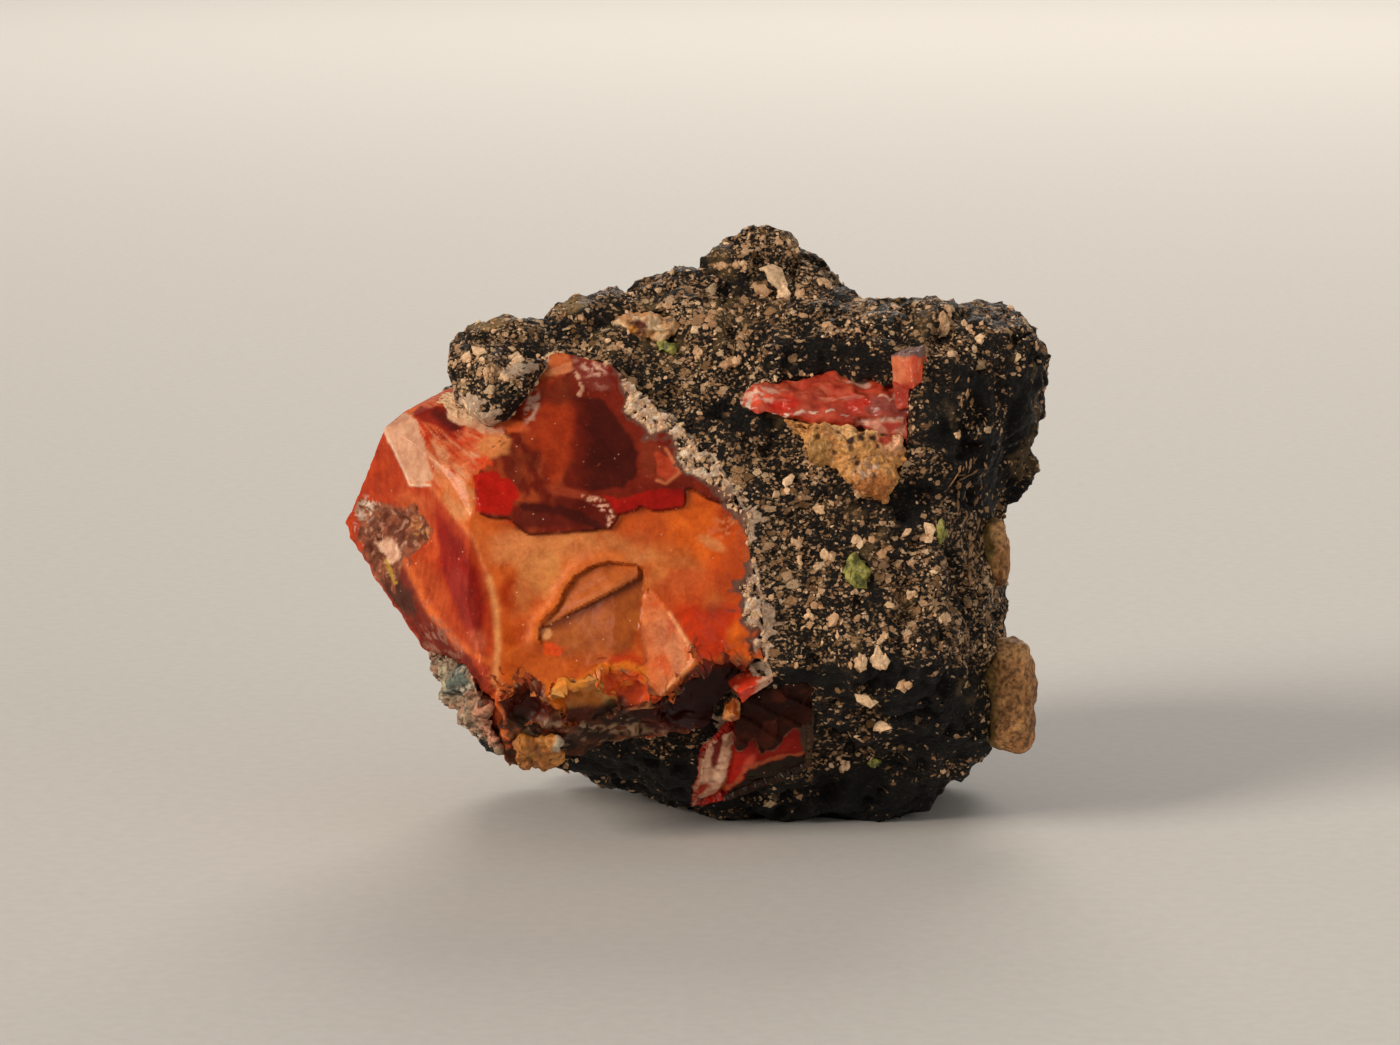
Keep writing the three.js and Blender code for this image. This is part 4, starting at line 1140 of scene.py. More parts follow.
SEAM_LAYERS = [
    (step(cloudy, 0, 0.6) * 0.7, (0.62, 0.13, 0.065)),
    (step(cloudy, -0.1, -0.5) * 0.7, (0.36, 0.026, 0.012)),
    (blot((18.4, 11.6), (2.6, 1.1), -8), (0.33, 0.075, 0.055)),
    (blot((6.2, 12.3), (2, 1)), (0.82, 0.1, 0.045)),
    (blot((8.5, 11.9), (1.7, 0.7)), (0.58, 0.022, 0.006)),
    (blot((15.8, 12), (1.2, 0.8), wobble=0.6), (0.52, 0.03, 0.012)),
    (blot((6, 12.8), (1.5, 0.8), wobble=0.5) * grit(0.7, 50, 0.6), (0.9, 0.55, 0.4)),
    (step(level, 0.34, 0.6) * 0.4 * step(spots[:, 1], 11.4, 12.4), (0.7, 0.3, 0.21)),
    (blot((16, 14), (1, 0.3), -12, wobble=0.6), (0.72, 0.4, 0.3)),
    (along([(17.9, 12.6), (19, 12.2), (19.8, 13.4)], 0.14), (0.75, 0.42, 0.3)),
    (blot((4.4, 11.8), (1, 0.8), wobble=0.6) * grit(0.6, 44, 0.4), CHALK),
    (within([(15.8, 10.4), (20.3, 10.6), (21.6, 8.6), (20.6, 7.4), (18, 8.4), (15.4, 9.4)], 0.15),
     (0.66, 0.27, 0.18)),
    (within([(18.2, 10.2), (20.4, 10), (18.8, 8.7)], 0.1), (0.46, 0.05, 0.025)),
    (along(SEAM_WHITES, 0.13) * grit(0.6, 51, 0.3), (0.8, 0.6, 0.48)),
]  # fmt: skip
paint(seam, (0.53, 0.064, 0.028), SEAM_LAYERS)
store(seam, "dull", 0 * rise)

# %% [markdown]
# Four chips of carnelian are small blocks with sharp edges: the square one at the seam's right end, whose
# left side is pale and whose right side is red, the dark red one under it, a red and white one under the
# large carnelian's right corner, and an amber one beside it. A block is a cube that is sized, turned and
# bevelled, then rebuilt in fine squares so that it can be painted.

# %% Chips of carnelian
CHIP_SQUARE = 0.11


def chip_block(name, middle, size, turn, lean=0.0):
    """A sharp-edged block, size millimetres to the right, away and up, turned about the upright."""
    bpy.ops.object.select_all(action="DESELECT")
    bpy.ops.mesh.primitive_cube_add(size=1, location=Vector(middle) * MM)
    block = bpy.context.object
    block.name = name
    block.scale = [value * MM for value in size]
    block.rotation_euler = (math.radians(lean), math.radians(-lean), math.radians(turn))
    bpy.ops.object.transform_apply(location=True, rotation=True, scale=True)
    bpy.ops.object.mode_set(mode="EDIT")
    bpy.ops.mesh.select_all(action="SELECT")
    bpy.ops.mesh.subdivide(number_cuts=1)
    bpy.ops.object.mode_set(mode="OBJECT")
    chance = random.Random(name)
    for vertex in block.data.vertices:
        vertex.co += Vector([chance.uniform(-0.13, 0.13) * min(size) * MM for _ in range(3)])
    applied(block, "BEVEL", width=0.12 * MM, segments=2)
    remeshed(block, CHIP_SQUARE)
    places, normals = places_of(block), normals_of(block)
    put(block, places + normals * 0.12 * bumps(places, 1.2, seed=55)[:, None])
    return block


seam_chip = chip_block("seam_chip", at_depth(21, 15.4, -16.9), (2.7, 2.9, 3.5), -42, lean=7)
seam_prism = chip_block("seam_prism", at_depth(20.5, 12.8, -17), (1.8, 2, 2.6), -30, lean=4)
places, normals = places_of(seam_chip), normals_of(seam_chip)
small = bumps(places, 0.7, seed=52)
to_right = step(normals[:, 0], -0.1, 0.2)
paint(seam_chip, (0.66, 0.19, 0.085), [
    (step(seen(places)[:, 0] + small, 20, 21.2) * 0.8, (0.66, 0.11, 0.035)),
    (step(seen(places)[:, 1], 14.2, 13.6), (0.4, 0.03, 0.012)),
    (to_right, (0.95, 0.11, 0.035)),
    (to_right * step(small, 0, 0.5) * 0.6, (0.95, 0.26, 0.11)),
    (np.maximum(step(normals[:, 2], 0.4, 0.6), step(seen(places)[:, 1] + 0.3 * small, 16.4, 16.7)),
     (0.24, 0.14, 0.12)),
])  # fmt: skip
places, normals = places_of(seam_prism), normals_of(seam_prism)
small = bumps(places, 0.7, seed=56)
paint(seam_prism, (0.4, 0.035, 0.016), [
    (step(normals[:, 0], -0.1, 0.2), (0.44, 0.04, 0.018)),
    (step(small, 0.2, 0.6) * 0.5, (0.6, 0.14, 0.08)),
])  # fmt: skip
red_chip = chip_block("red_white_chip", at_depth(5.2, -15.8, -21.2), (3.8, 2.4, 1.5), 16, lean=30)
places, normals = places_of(red_chip), normals_of(red_chip)
small = bumps(places, 0.9, seed=53)
paint(red_chip, (0.7, 0.05, 0.018), [
    (step(places[:, 0] + 0.6 * small, 4.8, 5.6), (0.9, 0.55, 0.38)),
    (step(small, 0.2, 0.6) * 0.6, (0.75, 0.3, 0.18)),
])  # fmt: skip
amber_bit = chip_block("amber_bit", at_depth(3.2, -18.8, -21.4), (1.2, 1.4, 1.8), 30, lean=-24)
places, normals = places_of(amber_bit), normals_of(amber_bit)
small = bumps(places, 0.9, seed=54)
paint(amber_bit, (0.4, 0.09, 0.015), [(step(small, -0.2, 0.3), (0.74, 0.3, 0.09))])
chip_blocks = [seam_chip, seam_prism, red_chip, amber_bit]
for block in chip_blocks:
    store(block, "dull", np.full(len(block.data.vertices), 0.2))

# %% The lower carnelian
PLATES = [
    (3.4, -21.1), (3.4, -22.9), (4.5, -22.6), (5.4, -21.7), (6, -23.2), (7.5, -22.9), (9.3, -20.5),
    (11.1, -20.5), (11.1, -17.5), (12.5, -15), (8.1, -14.6), (3.6, -16.6),
]  # fmt: skip
UPPER_PLATE = [
    (3.4, -19.4), (6.2, -18.6), (7, -20), (8.6, -18.2), (10.4, -18), (12, -15), (8, -14.6), (3.4, -16.6),
]  # fmt: skip
SIDE_PLATE = [(6.2, -20), (7.6, -19), (7.4, -22), (6.4, -22.8), (5.8, -21.6)]
LOWER_RIM = [
    (2.6, -27.5), (4.3, -26.3), (4.9, -25.2), (8.1, -24.2), (11.7, -23.4), (14, -23), (14, -31), (2, -31),
]  # fmt: skip

lower = copy_of("carnelian_lower", "lower_carnelian")
remeshed(lower, SEAM_SQUARE)
places, normals = places_of(lower), normals_of(lower)
spots = seen(places)
front = step(toward_eye(places, normals), -0.2, 0.1)
small = bumps(places, 0.8, seed=51)
medium = bumps(places, 2.4, seed=52)
shaken = spots + np.stack([small, bumps(places, 0.8, seed=53)], axis=1) * 0.2
plate, second, third = (within(outline, 0.07) for outline in (PLATES, UPPER_PLATE, SIDE_PLATE))
CHALK_SIDE = [(0.8, -21.5), (3.3, -21.5), (3, -24.5), (2.2, -27.4), (-3, -29), (-2, -26), (0.2, -23)]
chalk_side = within(CHALK_SIDE, 0.15)
across = spots @ (0.5, 0.87)
rise = 0.3 * medium + 0.08 * small - 0.7 * (1 - plate) * front + 0.4 * second + 0.25 * third
rise += plate * 0.4 * (across / 2.1 - np.floor(across / 2.1))
rise += 0.3 * bumps(places, 1, seed=54) * chalk_side
rise -= 0.5 * np.exp(-((off_line(spots, [(3.2, -21), (3.1, -24.6), (2, -28)]) / 0.35) ** 2)) * front
put(lower, places + normals * rise[:, None])
# The lower carnelian lies in shade: its red ground and its brown plates are painted darker than their own
# colour, as painted shade.
LOWER_LAYERS = [
    (step(medium, -0.1, 0.5) * 0.7, (0.16, 0.006, 0.004)),
    (blot((3.9, -25.2), (1.3, 2.2), -30), (0.52, 0.014, 0.005)),
    (blot((4.9, -24.6), (0.5, 0.9), -30) * 0.7, (0.75, 0.12, 0.06)),
    (blot((7.6, -23), (1.6, 0.6), 20), (0.4, 0.018, 0.006)),
    (chalk_side, (0.95, 0.58, 0.38)),
    (chalk_side * grit(1.2, 55, 0) * 0.7, (0.44, 0.2, 0.13)),
    (chalk_side * blot((1.6, -23.6), (0.35, 1.6), -12, wobble=0.5), (0.25, 0.03, 0.02)),
    (chalk_side * blot((-0.6, -27.3), (1.4, 0.6), 20, wobble=0.5), (0.5, 0.06, 0.03)),
    (along([(1.6, -27.8), (3.9, -26.4), (4.6, -25.2), (7.8, -24.1), (11.4, -23.4)], 0.28) * 0.8,
     (0.5, 0.11, 0.04)),
    # Its underside is painted nearly black: painted shade.
    (step(inside_by(shaken, LOWER_RIM), -0.15, 0.15), (0.022, 0.011, 0.006)),
    (step(places[:, 0] + 0.3 * small, 9.7, 10.3), (0.06, 0.034, 0.018)),
    (plate, (0.035, 0.006, 0.002)),
    (second, (0.022, 0.004, 0.0015)),
    (third * 0.8, (0.075, 0.012, 0.004)),
    (plate * grit(1.6, 56, -0.3) * 0.6, (0.085, 0.014, 0.005)),
    # Painted highlight along the plates' lower edges.
    (glow(PLATES[1:8], 0.14), (0.26, 0.085, 0.05)),
    (within([(9.9, -20.6), (11.8, -20), (11.8, -23.6), (10.4, -23.4)], 0.15), (0.09, 0.05, 0.028)),
]  # fmt: skip
paint(lower, (0.32, 0.01, 0.003), LOWER_LAYERS)
store(lower, "dull", np.maximum(chalk_side, 0.85 * plate))

# %% A waxy finish for the seam and the chips, a duller one for the stone in the shade
def waxy_finish(name, specular):
    waxy = Finish(
        name,
        Subsurface_Weight=0.18,
        Subsurface_Radius=(1.0, 0.2, 0.08),
        Subsurface_Scale=0.8 * MM,
        IOR=1.54,
        Specular_IOR_Level=specular,
    )
    cloud = waxy.clouds(1.6, detail=5, roughness=0.6).outputs[0]
    shade = waxy.ramp(cloud, (0.3, (0.7, 0.6, 0.58)), (0.7, (1.15, 1.2, 1.2)))
    colour = waxy.mix(1.0, waxy.painted("tint").outputs["Color"], shade, "MULTIPLY")
    speck = waxy.step(waxy.cells(0.6).outputs["Distance"], 0.14, 0.07)
    colour = waxy.mix(waxy.math("MULTIPLY", speck, waxy.step(cloud, 0.54, 0.62)), colour, (0.8, 0.5, 0.38))
    gloss = waxy.math("ADD", 0.08, waxy.math("MULTIPLY", cloud, 0.2))
    gloss = waxy.math("MAXIMUM", gloss, waxy.math("MULTIPLY", waxy.painted("dull").outputs["Fac"], 0.8))
    return waxy.finish(colour, gloss, waxy.relief(waxy.clouds(0.5, detail=4).outputs[0], 0.1))


waxy_rock = waxy_finish("waxy_red_chalcedony", 0.34)
settled(seam, "carnelian_seam", waxy_rock, crease=50)
settled(lower, "carnelian_lower", waxy_finish("shaded_red_chalcedony", 0.13), crease=50)
settled(seam_chip, None, waxy_rock, crease=35)
settled(seam_prism, None, waxy_rock, crease=35)
settled(red_chip, None, waxy_rock, crease=35)
settled(amber_bit, None, waxy_rock, crease=35)

# %% [markdown]
# ## The tan lump, the pebbles, the crust and the grains
#
# The tan lump under the seam is sandy and full of pits. The pebbles on the right are blocks with worn
# edges and a fine dark speckle. The crust under the carnelian's lower left edge is flaky: thin leaves
# with ragged ends, chalky white with a blue-grey patch. The amber and brown grains are harder and
# smoother, and the green ones broke in flat faces. The same few steps make them all, with their own sizes
# of lump and pit: copy the node, rebuild it in fine squares, push it about, paint it. A green grain is
# then reduced to sixty faces, and these are split again without rounding, so that they stay flat and can
# be painted.

# %% Rough stones
def pits(places, size, seed, share):
    """0 on the surface to 1 in the middle of round pits, of which share says how many there are."""
    shift = Vector((seed, -seed, 2 * seed))
    deep = np.zeros(len(places))
    for i, place in enumerate(places):
        at = Vector(place) / size + shift
        distances, centres = noise.voronoi(at)
        if noise.cell(centres[0] * 7.7) < share:
            deep[i] = max(0.0, 1 - distances[0] / 0.42)
    return deep


def rough_stone(node, name, square, lumps, dents=(1, 0, 0), knobs=(), sink=0.0, form=None):
    """A copy of a node with lumps of (size, height), pits of (size, depth, share) and knobs on the plane."""
    piece = copy_of(node, name)
    remeshed(piece, square)
    if form:
        form(piece)
    places, normals = places_of(piece), normals_of(piece)
    seed = sum(map(ord, name)) % 97
    rise = sum(height * bumps(places, size, seed=seed + i) for i, (size, height) in enumerate(lumps)) - sink
    size, depth, share = dents
    hollow = pits(places, size, seed, share) if share else 0 * rise
    spots = seen(places)
    for right, up, wide, height in knobs:
        rise += height * np.exp(-np.sum((spots - (right, up)) ** 2, axis=1) / wide**2)
    put(piece, places + normals * (rise - depth * hollow)[:, None])
    store(piece, "hollow", hollow)
    return piece, places, normals, spots


TAN_KNOBS = [
    (12, 7.2, 1.3, 1.1), (15.4, 9.6, 1.2, 0.5), (19, 8.4, 1, 0.5), (17, 3.6, 1.3, 0.9), (15.2, 6.6, 1, 0.6),
]  # fmt: skip
tan, places, normals, spots = rough_stone(
    "tan_clast", "tan_lump", 0.15, [(2.4, 0.8), (1.1, 0.5), (0.5, 0.16)], (1, 0.45, 0.25), TAN_KNOBS
)
front = step(toward_eye(places, normals), -0.2, 0.1)
small, medium = bumps(places, 0.6, seed=61), bumps(places, 1.8, seed=62)
shaken = spots + np.stack([small, medium], axis=1) * 0.25
TAN_HOLES = [(15, 8.2), (16, 8.4), (17.3, 8.5)]
TAN_LAYERS = [
    (step(medium, 0.1, 0.6) * 0.7, (0.36, 0.13, 0.035)),
    (blot((12, 7.2), (1.2, 1.5), wobble=0.2), (0.4, 0.2, 0.055)),
    (blot((15, 9.4), (3, 1), -6, wobble=0.5) * 0.8, (0.9, 0.52, 0.22)),
    (blot((19.3, 8.6), (1.6, 1.8)), (1, 0.5, 0.27)),
    (blot((18.4, 8.2), (0.6, 0.5), 30), (0.4, 0.05, 0.02)),
    (blot((17, 3.4), (2.2, 1.8)), (0.5, 0.17, 0.04)),
    (blot((16.6, 5.2), (1.3, 0.8), 30, wobble=0.6) * grit(0.6, 63, 0.3), (0.75, 0.5, 0.34)),
    (blot((12.8, 10.9), (1.3, 0.5)) * grit(0.6, 64, 0.4), CHALK),
    (grit(0.5, 65, -0.4) * front * 0.7, (0.68, 0.42, 0.22)),
    (grit(0.7, 66, -0.8) * front * 0.9, (0.1, 0.035, 0.015)),
    # Three holes painted dark: painted shade in them.
    *[(blot(spot, (0.4, 0.4), wobble=0.3), (0.05, 0.02, 0.01)) for spot in TAN_HOLES],
]  # fmt: skip
paint(tan, (0.76, 0.36, 0.11), TAN_LAYERS)


def worn_block(piece, power, share):
    """Turns a piece into a block with worn edges that fills a share of the piece's own size."""
    places = places_of(piece)
    middle, half = (places.max(axis=0) + places.min(axis=0)) / 2, np.ptp(places, axis=0) / 2
    way = (places - middle) / half
    reach = np.sum(np.abs(way) ** power, axis=1) ** (1 / power)
    put(piece, middle + half * way / reach[:, None] * share)


pebbles = []
for node, name, lump in (("pebble_large", "large_pebble", 3.4), ("pebble_small", "small_pebble", 2.4)):
    pebble, places, _, spots = rough_stone(
        node, name, 0.2, [(1.4 * lump, 0.7), (2.2, 0.3), (0.5, 0.06)], (0.5, 0.08, -0.5),
        form=lambda piece: worn_block(piece, 2.7, 0.92),
    )
    shade, fine = bumps(places, 1.8, seed=71), bumps(places, 0.5, seed=72)
    left = step(spots[:, 0] + 0.5 * shade, spots[:, 0].min() + 1.8, spots[:, 0].min() + 0.6)
    blotch = bumps(places, 2.6, seed=73)
    paint(pebble, (0.4, 0.175, 0.055), [
        (step(shade, 0, 0.6) * 0.8, (0.6, 0.3, 0.1)),
        (step(blotch, 0.05, 0.35) * 0.7, (0.2, 0.08, 0.026)),
        (step(spots[:, 1], spots[:, 1].max() - 3.4, spots[:, 1].max() - 1.6) * 0.6, (0.78, 0.42, 0.17)),
        (step(fine, 0.2, 0.5) * 0.5, (0.7, 0.37, 0.15)),
        (step(fine, -0.1, -0.35) * 0.7, (0.08, 0.035, 0.015)),
        (left * 0.8, (0.13, 0.1, 0.02)),
    ])  # fmt: skip
    pebbles.append((pebble, node))

CRUST_KNOBS = [(-24, -15.6, 1, 0.8), (-25.4, -17, 0.8, 0.7), (-21.6, -18.6, 1, 0.8), (-23.2, -19.4, 0.7, 0.5)]
crust, places, normals, spots = rough_stone(
    "pale_crust", "flaky_crust", 0.15, [(2, 0.9), (0.7, 0.4)], (0.9, 0.4, 0.3), CRUST_KNOBS
)
front = step(toward_eye(places, normals), -0.4, 0)
small, medium = bumps(places, 0.6, seed=81), bumps(places, 1.8, seed=82)
paint(crust, (0.36, 0.25, 0.16), [
    (step(medium, 0.1, 0.6) * 0.8, (0.5, 0.26, 0.16)),
    (blot((-24, -16), (1.3, 1.5)), (0.16, 0.19, 0.155)),
    (blot((-25.6, -16), (0.7, 1.8)), (0.5, 0.42, 0.28)),
    (blot((-21.8, -16), (0.9, 1.6), 20), (0.7, 0.34, 0.2)),
    (blot((-20.6, -20), (1.2, 2.4), 20, wobble=0.6) * 0.8, (0.7, 0.3, 0.18)),
    (grit(0.6, 83, -0.2) * 0.8, (0.07, 0.045, 0.03)),
    (grit(0.9, 84, -0.5) * 0.8, (0.66, 0.54, 0.42)),
])  # fmt: skip

amber, places, normals, spots = rough_stone(
    "amber_clast", "amber_chip", 0.15, [(1.8, 0.8), (0.7, 0.25)],
    knobs=[(-17.2, -22.4, 0.8, 0.5), (-14.4, -22.8, 0.7, 0.5)],
)
front = step(toward_eye(places, normals), -0.3, 0)
small, medium = bumps(places, 0.6, seed=84), bumps(places, 1.8, seed=85)
paint(amber, (0.42, 0.15, 0.025), [
    (step(medium, 0, 0.5) * 0.7, (0.68, 0.3, 0.07)),
    (grit(0.8, 86, -0.3) * 0.8, (0.14, 0.05, 0.015)),
    (blot((-14.2, -22.2), (0.6, 0.6)), (0.5, 0.42, 0.3)),
])  # fmt: skip

brown, places, normals, spots = rough_stone(
    "brown_clast", "brown_lump", 0.12, [(1.6, 0.6), (0.5, 0.14)], sink=0.35
)
front = step(toward_eye(places, normals), -0.3, 0)
small, medium = bumps(places, 0.6, seed=86), bumps(places, 1.8, seed=87)
paint(brown, (0.6, 0.3, 0.12), [
    (step(medium, 0, 0.4) * 0.9, (0.95, 0.64, 0.36)),
    (blot((-8.6, 19.4), (0.9, 1), wobble=0.6), (0.95, 0.68, 0.4)),
    (blot((-6.2, 19.6), (1, 1.1), wobble=0.6), (0.16, 0.035, 0.014)),
    (blot((-6.8, 19.3), (0.7, 0.5), wobble=0.6), (0.66, 0.26, 0.04)),
    (blot((-4.4, 19.8), (0.9, 0.8), wobble=0.8), (0.8, 0.56, 0.33)),
    (grit(0.7, 88, -0.5) * 0.8, (0.05, 0.025, 0.015)),
])  # fmt: skip

GRAIN_FACES = 60
greens = []
for i in range(1, 5):
    node = f"green_grain_{i}"
    green = rough_stone(node, f"olive_grain_{i}", 0.1, [(1.6, 0.7)], sink=0.25)[0]
    applied(green, "DECIMATE", ratio=GRAIN_FACES / len(green.data.polygons))
    applied(green, "SUBSURF", subdivision_type="SIMPLE", levels=4, render_levels=4)
    places, normals = places_of(green), normals_of(green)
    put(green, places + normals * 0.05 * bumps(places, 0.4, seed=i)[:, None])
    shade = bumps(places, 0.8, seed=90 + i)
    paint(green, (0.26, 0.25, 0.05), [
        (step(shade, 0, 0.5) * 0.8, (0.4, 0.36, 0.1)),
        (step(shade, -0.1, -0.4) * 0.8, (0.07, 0.075, 0.02)),
    ])  # fmt: skip
    greens.append((green, node))

# %% Finishes of the rough stones
def stony(name, grain_size, gloss, depth, contrast=0.35, **sockets):
    """A painted stone with grains of one size, and painted shade in its pits."""
    stone = Finish(name, Roughness=gloss, Specular_IOR_Level=0.35, **sockets)
    grains = stone.clouds(grain_size, detail=5, roughness=0.65).outputs[0]
    light, dark = 1 + contrast, 1 - contrast
    shade = stone.ramp(grains, (0.32, (dark, dark, dark)), (0.68, (light, light, light)))
    tinted = stone.mix(1.0, stone.painted("tint").outputs["Color"], shade, "MULTIPLY")
    # The pits are painted dark: painted shade in them.
    in_pit = stone.step(stone.painted("hollow").outputs["Fac"], 0.1, 0.6)
    tinted = stone.mix(stone.math("MULTIPLY", in_pit, 0.8), tinted, (0.05, 0.025, 0.012))
    return stone.finish(tinted, normal=stone.relief(grains, depth))


settled(tan, "tan_clast", stony("sandy_tan", 0.3, 0.7, 0.3, 0.5))
worn = stony("worn_pebble", 0.4, 0.65, 0.2, 0.5)
for pebble, node in pebbles:
    settled(pebble, node, worn)
settled(crust, "pale_crust", stony("flaky_white", 0.35, 0.8, 0.25, 0.45))
settled(amber, "amber_clast", stony("amber_stone", 0.5, 0.4, 0.14, Subsurface_Weight=0.2,
                                             Subsurface_Scale=1 * MM))  # fmt: skip
settled(brown, "brown_clast", stony("brown_stone", 0.3, 0.45, 0.2))
olive = stony("olive_stone", 0.35, 0.35, 0.12, Subsurface_Weight=0.15, Subsurface_Scale=0.6 * MM)
for green, node in greens:
    settled(green, node, olive, crease=35)

# %% [markdown]
# ## The dark matrix
#
# The matrix is volcanic rock: a black, slightly glassy ground crowded with cream crystals from dust to
# two millimetres. It broke along lumps, not along planes, so its surface is rough at every size. The node
# has the large lumps already. A voxel remesh gives it an even skin, bumps of three sizes roughen it, and
# every vertex close to a stone is drawn onto that stone, so that the rock grips it without a gap. Where
# it grips the big carnelian, a cream crust follows the seam. The back, which the photograph doesn't show,
# is broken in wide shells, so that it has large faces as well as lumps.

# %% An even skin that grips its stones
MATRIX_SQUARE = 0.43
GRIP_FULL = 0.8  # a vertex this near a stone lies on it
GRIP_NONE = 2.3
FOOT_TOP = 0.05
ROUGHNESS = [(6.5, 0.55, 101), (2.6, 0.6, 102), (1.2, 0.38, 103)]  # size, height and seed of bumps
# Knobs and dips of the skyline: right, up on the tracing plane, depth y, width and height.
KNOBS = [
    (-19.4, 20.2, -7, 1.8, 0.5), (-16.2, 20.6, -6, 1.3, -0.8), (-12.3, 22.2, -5, 1.4, -0.3),
    (-9.6, 22.8, -5, 1, 0.1), (-6.6, 24, -3, 1.2, -0.5), (-3.4, 25.2, -2, 1.6, 0.9),
    (2, 28.6, 1, 1.4, -0.7), (6.6, 30, 2, 2.2, -0.6), (10.6, 27.4, 2, 1.6, -0.7),
    (14.6, 23.4, 0, 2, -1.3), (18.4, 23, -4, 2.4, -1.5), (24, 22, -4, 2.6, -0.5),
]  # fmt: skip

matrix = copy_of("matrix", "speckled_matrix")
remeshed(matrix, MATRIX_SQUARE)
places, normals = places_of(matrix), normals_of(matrix)

held = [carnelian, seam, lower, tan, crust, amber, brown, *chip_blocks]
held += [stone for stone, _ in [*pebbles, *greens]]
near = np.full(len(places), 9.0)
grip = places.copy()
for stone in held:
    stone_places = places_of(stone)
    low, high = stone_places.min(axis=0) - 3, stone_places.max(axis=0) + 3
    close = np.where(np.all((places > low) & (places < high), axis=1))[0]
    found, gap = nearest_on(tree_of(stone), places[close], 3.0)
    better = gap < near[close]
    near[close[better]] = gap[better]
    grip[close[better]] = found[better]
    if stone is carnelian:
        to_carnelian = np.full(len(places), 9.0)
        to_carnelian[close] = gap
        near[close] = np.maximum(0, gap - 0.6)

free = step(near, 0.5, 1.8)
on_foot = places[:, 2] < FOOT_TOP
rise = sum(height * bumps(places, size, seed) for size, height, seed in ROUGHNESS)
rise -= 0.9 * step(bumps(places, 3, seed=104), 0.22, 0.5)
behind = step(toward_eye(places, normals), 0.1, -0.3)
broken, from_rim, fragment = shells(places * (1, 1, 0.8), behind > 0, 11, 3)
rise -= behind * (2.2 * broken - 0.5) * (places[:, 2] > 4)
for right, up, depth, width, height in KNOBS:
    rise += height * np.exp(-np.sum((places - at_depth(right, up, depth)) ** 2, axis=1) / width**2)
spots = seen(places)
rise -= 1.1 * step(spots[:, 0], 32, 35) * np.exp(-(((spots[:, 1] - 15.4) / 4) ** 2))
rough = places + normals * (rise * (0.2 + 0.8 * free))[:, None]
hold = step(near, GRIP_NONE, GRIP_FULL)[:, None]
moved = rough * (1 - hold) + (grip - normals * 0.05) * hold
moved[:, 2] = np.maximum(moved[:, 2], 0)
moved[on_foot] = places[on_foot]
put(matrix, moved)
print("matrix has", len(places), "vertices, bumps from", rise.min().round(2), "to", rise.max().round(2), "mm")

# %% Where crust, stain, crystals and painted shade are
places, normals = places_of(matrix), normals_of(matrix)
spots = seen(places)
front = step(toward_eye(places, normals), -0.1, 0.15)
small = bumps(places, 0.9, seed=111)
medium = bumps(places, 2.6, seed=112)
shaken = spots + np.stack([small, bumps(places, 0.9, seed=113)], axis=1) * 0.4
crusted = step(to_carnelian, 2.4, 1) * step(medium + 0.5 * small, -0.35, 0.25)
CRUST_SPOTS = [
    blot((4.9, -0.5), (1, 2), wobble=0.5), blot((6.4, -10.6), (1.8, 2.6), 10, wobble=0.5),
    blot((-8, 11.9), (1.3, 1.4), wobble=0.5), blot((-3.6, 9.2), (2.2, 1.6), -40, wobble=0.5),
    blot((-0.3, 5.2), (2.4, 1.2), -40, wobble=0.5), blot((-21.6, 10.6), (3, 1.6), -40, wobble=0.6),
    blot((-17.6, 15.4), (2.6, 0.8), 10, wobble=0.5),
]  # fmt: skip
for spot in CRUST_SPOTS:
    crusted = np.maximum(crusted, spot * step(small, -0.7, 0))
# Faces that turn down, for painted shade.
below = step(normals[:, 2], -0.15, -0.6)
stain = np.maximum(blot((-21, 20), (2.2, 0.7), 6), blot((-12.7, 21.9), (1.6, 0.8), 25))
stain = np.maximum(stain, blot((-4.6, 19.6), (3.6, 1.8), -10, wobble=0.8) * step(small, -0.2, 0.4) * 0.8)
stain = np.maximum(stain, step(bumps(places, 5, seed=115), 0.45, 0.6) * 0.35 * step(spots[:, 1], -20, -17))
stain = np.maximum(stain, behind * (fragment > 0.7) * step(from_rim + medium, 0.6, 1.6) * 0.5)
# Recesses, the right wall, the ledge and the bottom, where shade falls: painted shade.
shaded_places = [
    blot((13.4, 16.2), (6, 2.2), -4), blot((21.6, 2.6), (2.4, 2.4), wobble=0.5), blot((27.6, 8), (4, 9), 10),
    blot((15, -15.4), (9, 0.9), 4, wobble=0.6), blot((24, -19), (5, 4), 30), blot((5, 10.5), (4, 1.6), -10),
    blot((31.5, 8.6), (4.6, 8.4)), 0.8 * blot((-3.6, -25.4), (8, 2.8), 0, wobble=0.8),
    0.8 * blot((15, -28), (12, 2.4), wobble=0.8),
]  # fmt: skip
shadow = np.max(shaded_places, axis=0)
crowding_and_shade = 1 + 0.5 * bumps(places, 6, seed=114) + 0.5 * bumps(places, 2.4, seed=116)
# Painted shade: faces that turn down, the shaded places and the rock low down get fewer crystals and a darker
# ground.
crowding_and_shade += 0.4 * behind * fragment - 0.5 * below - 0.8 * shadow - 0.12 * step(places[:, 2], 14, 8)
store(matrix, "crusted", crusted)
store(matrix, "crowding_and_shade", crowding_and_shade)
store(matrix, "stain", stain)
store(matrix, "rim", step(to_carnelian, 0.9, 0.35))

# %% [markdown]
# The rock's finish is grains on grains. Each size of grain is a field of ragged cells: a cell picks a
# number by chance, and only cells above a limit become cream crystals, the rest stay dark. Where the rock
# is crowded the limit is lower; where it is painted as lying in shade the limit is higher and the dark
# ground is darker still. All the grains stand out a little as bumps, so that the pepper is felt as well
# as seen.

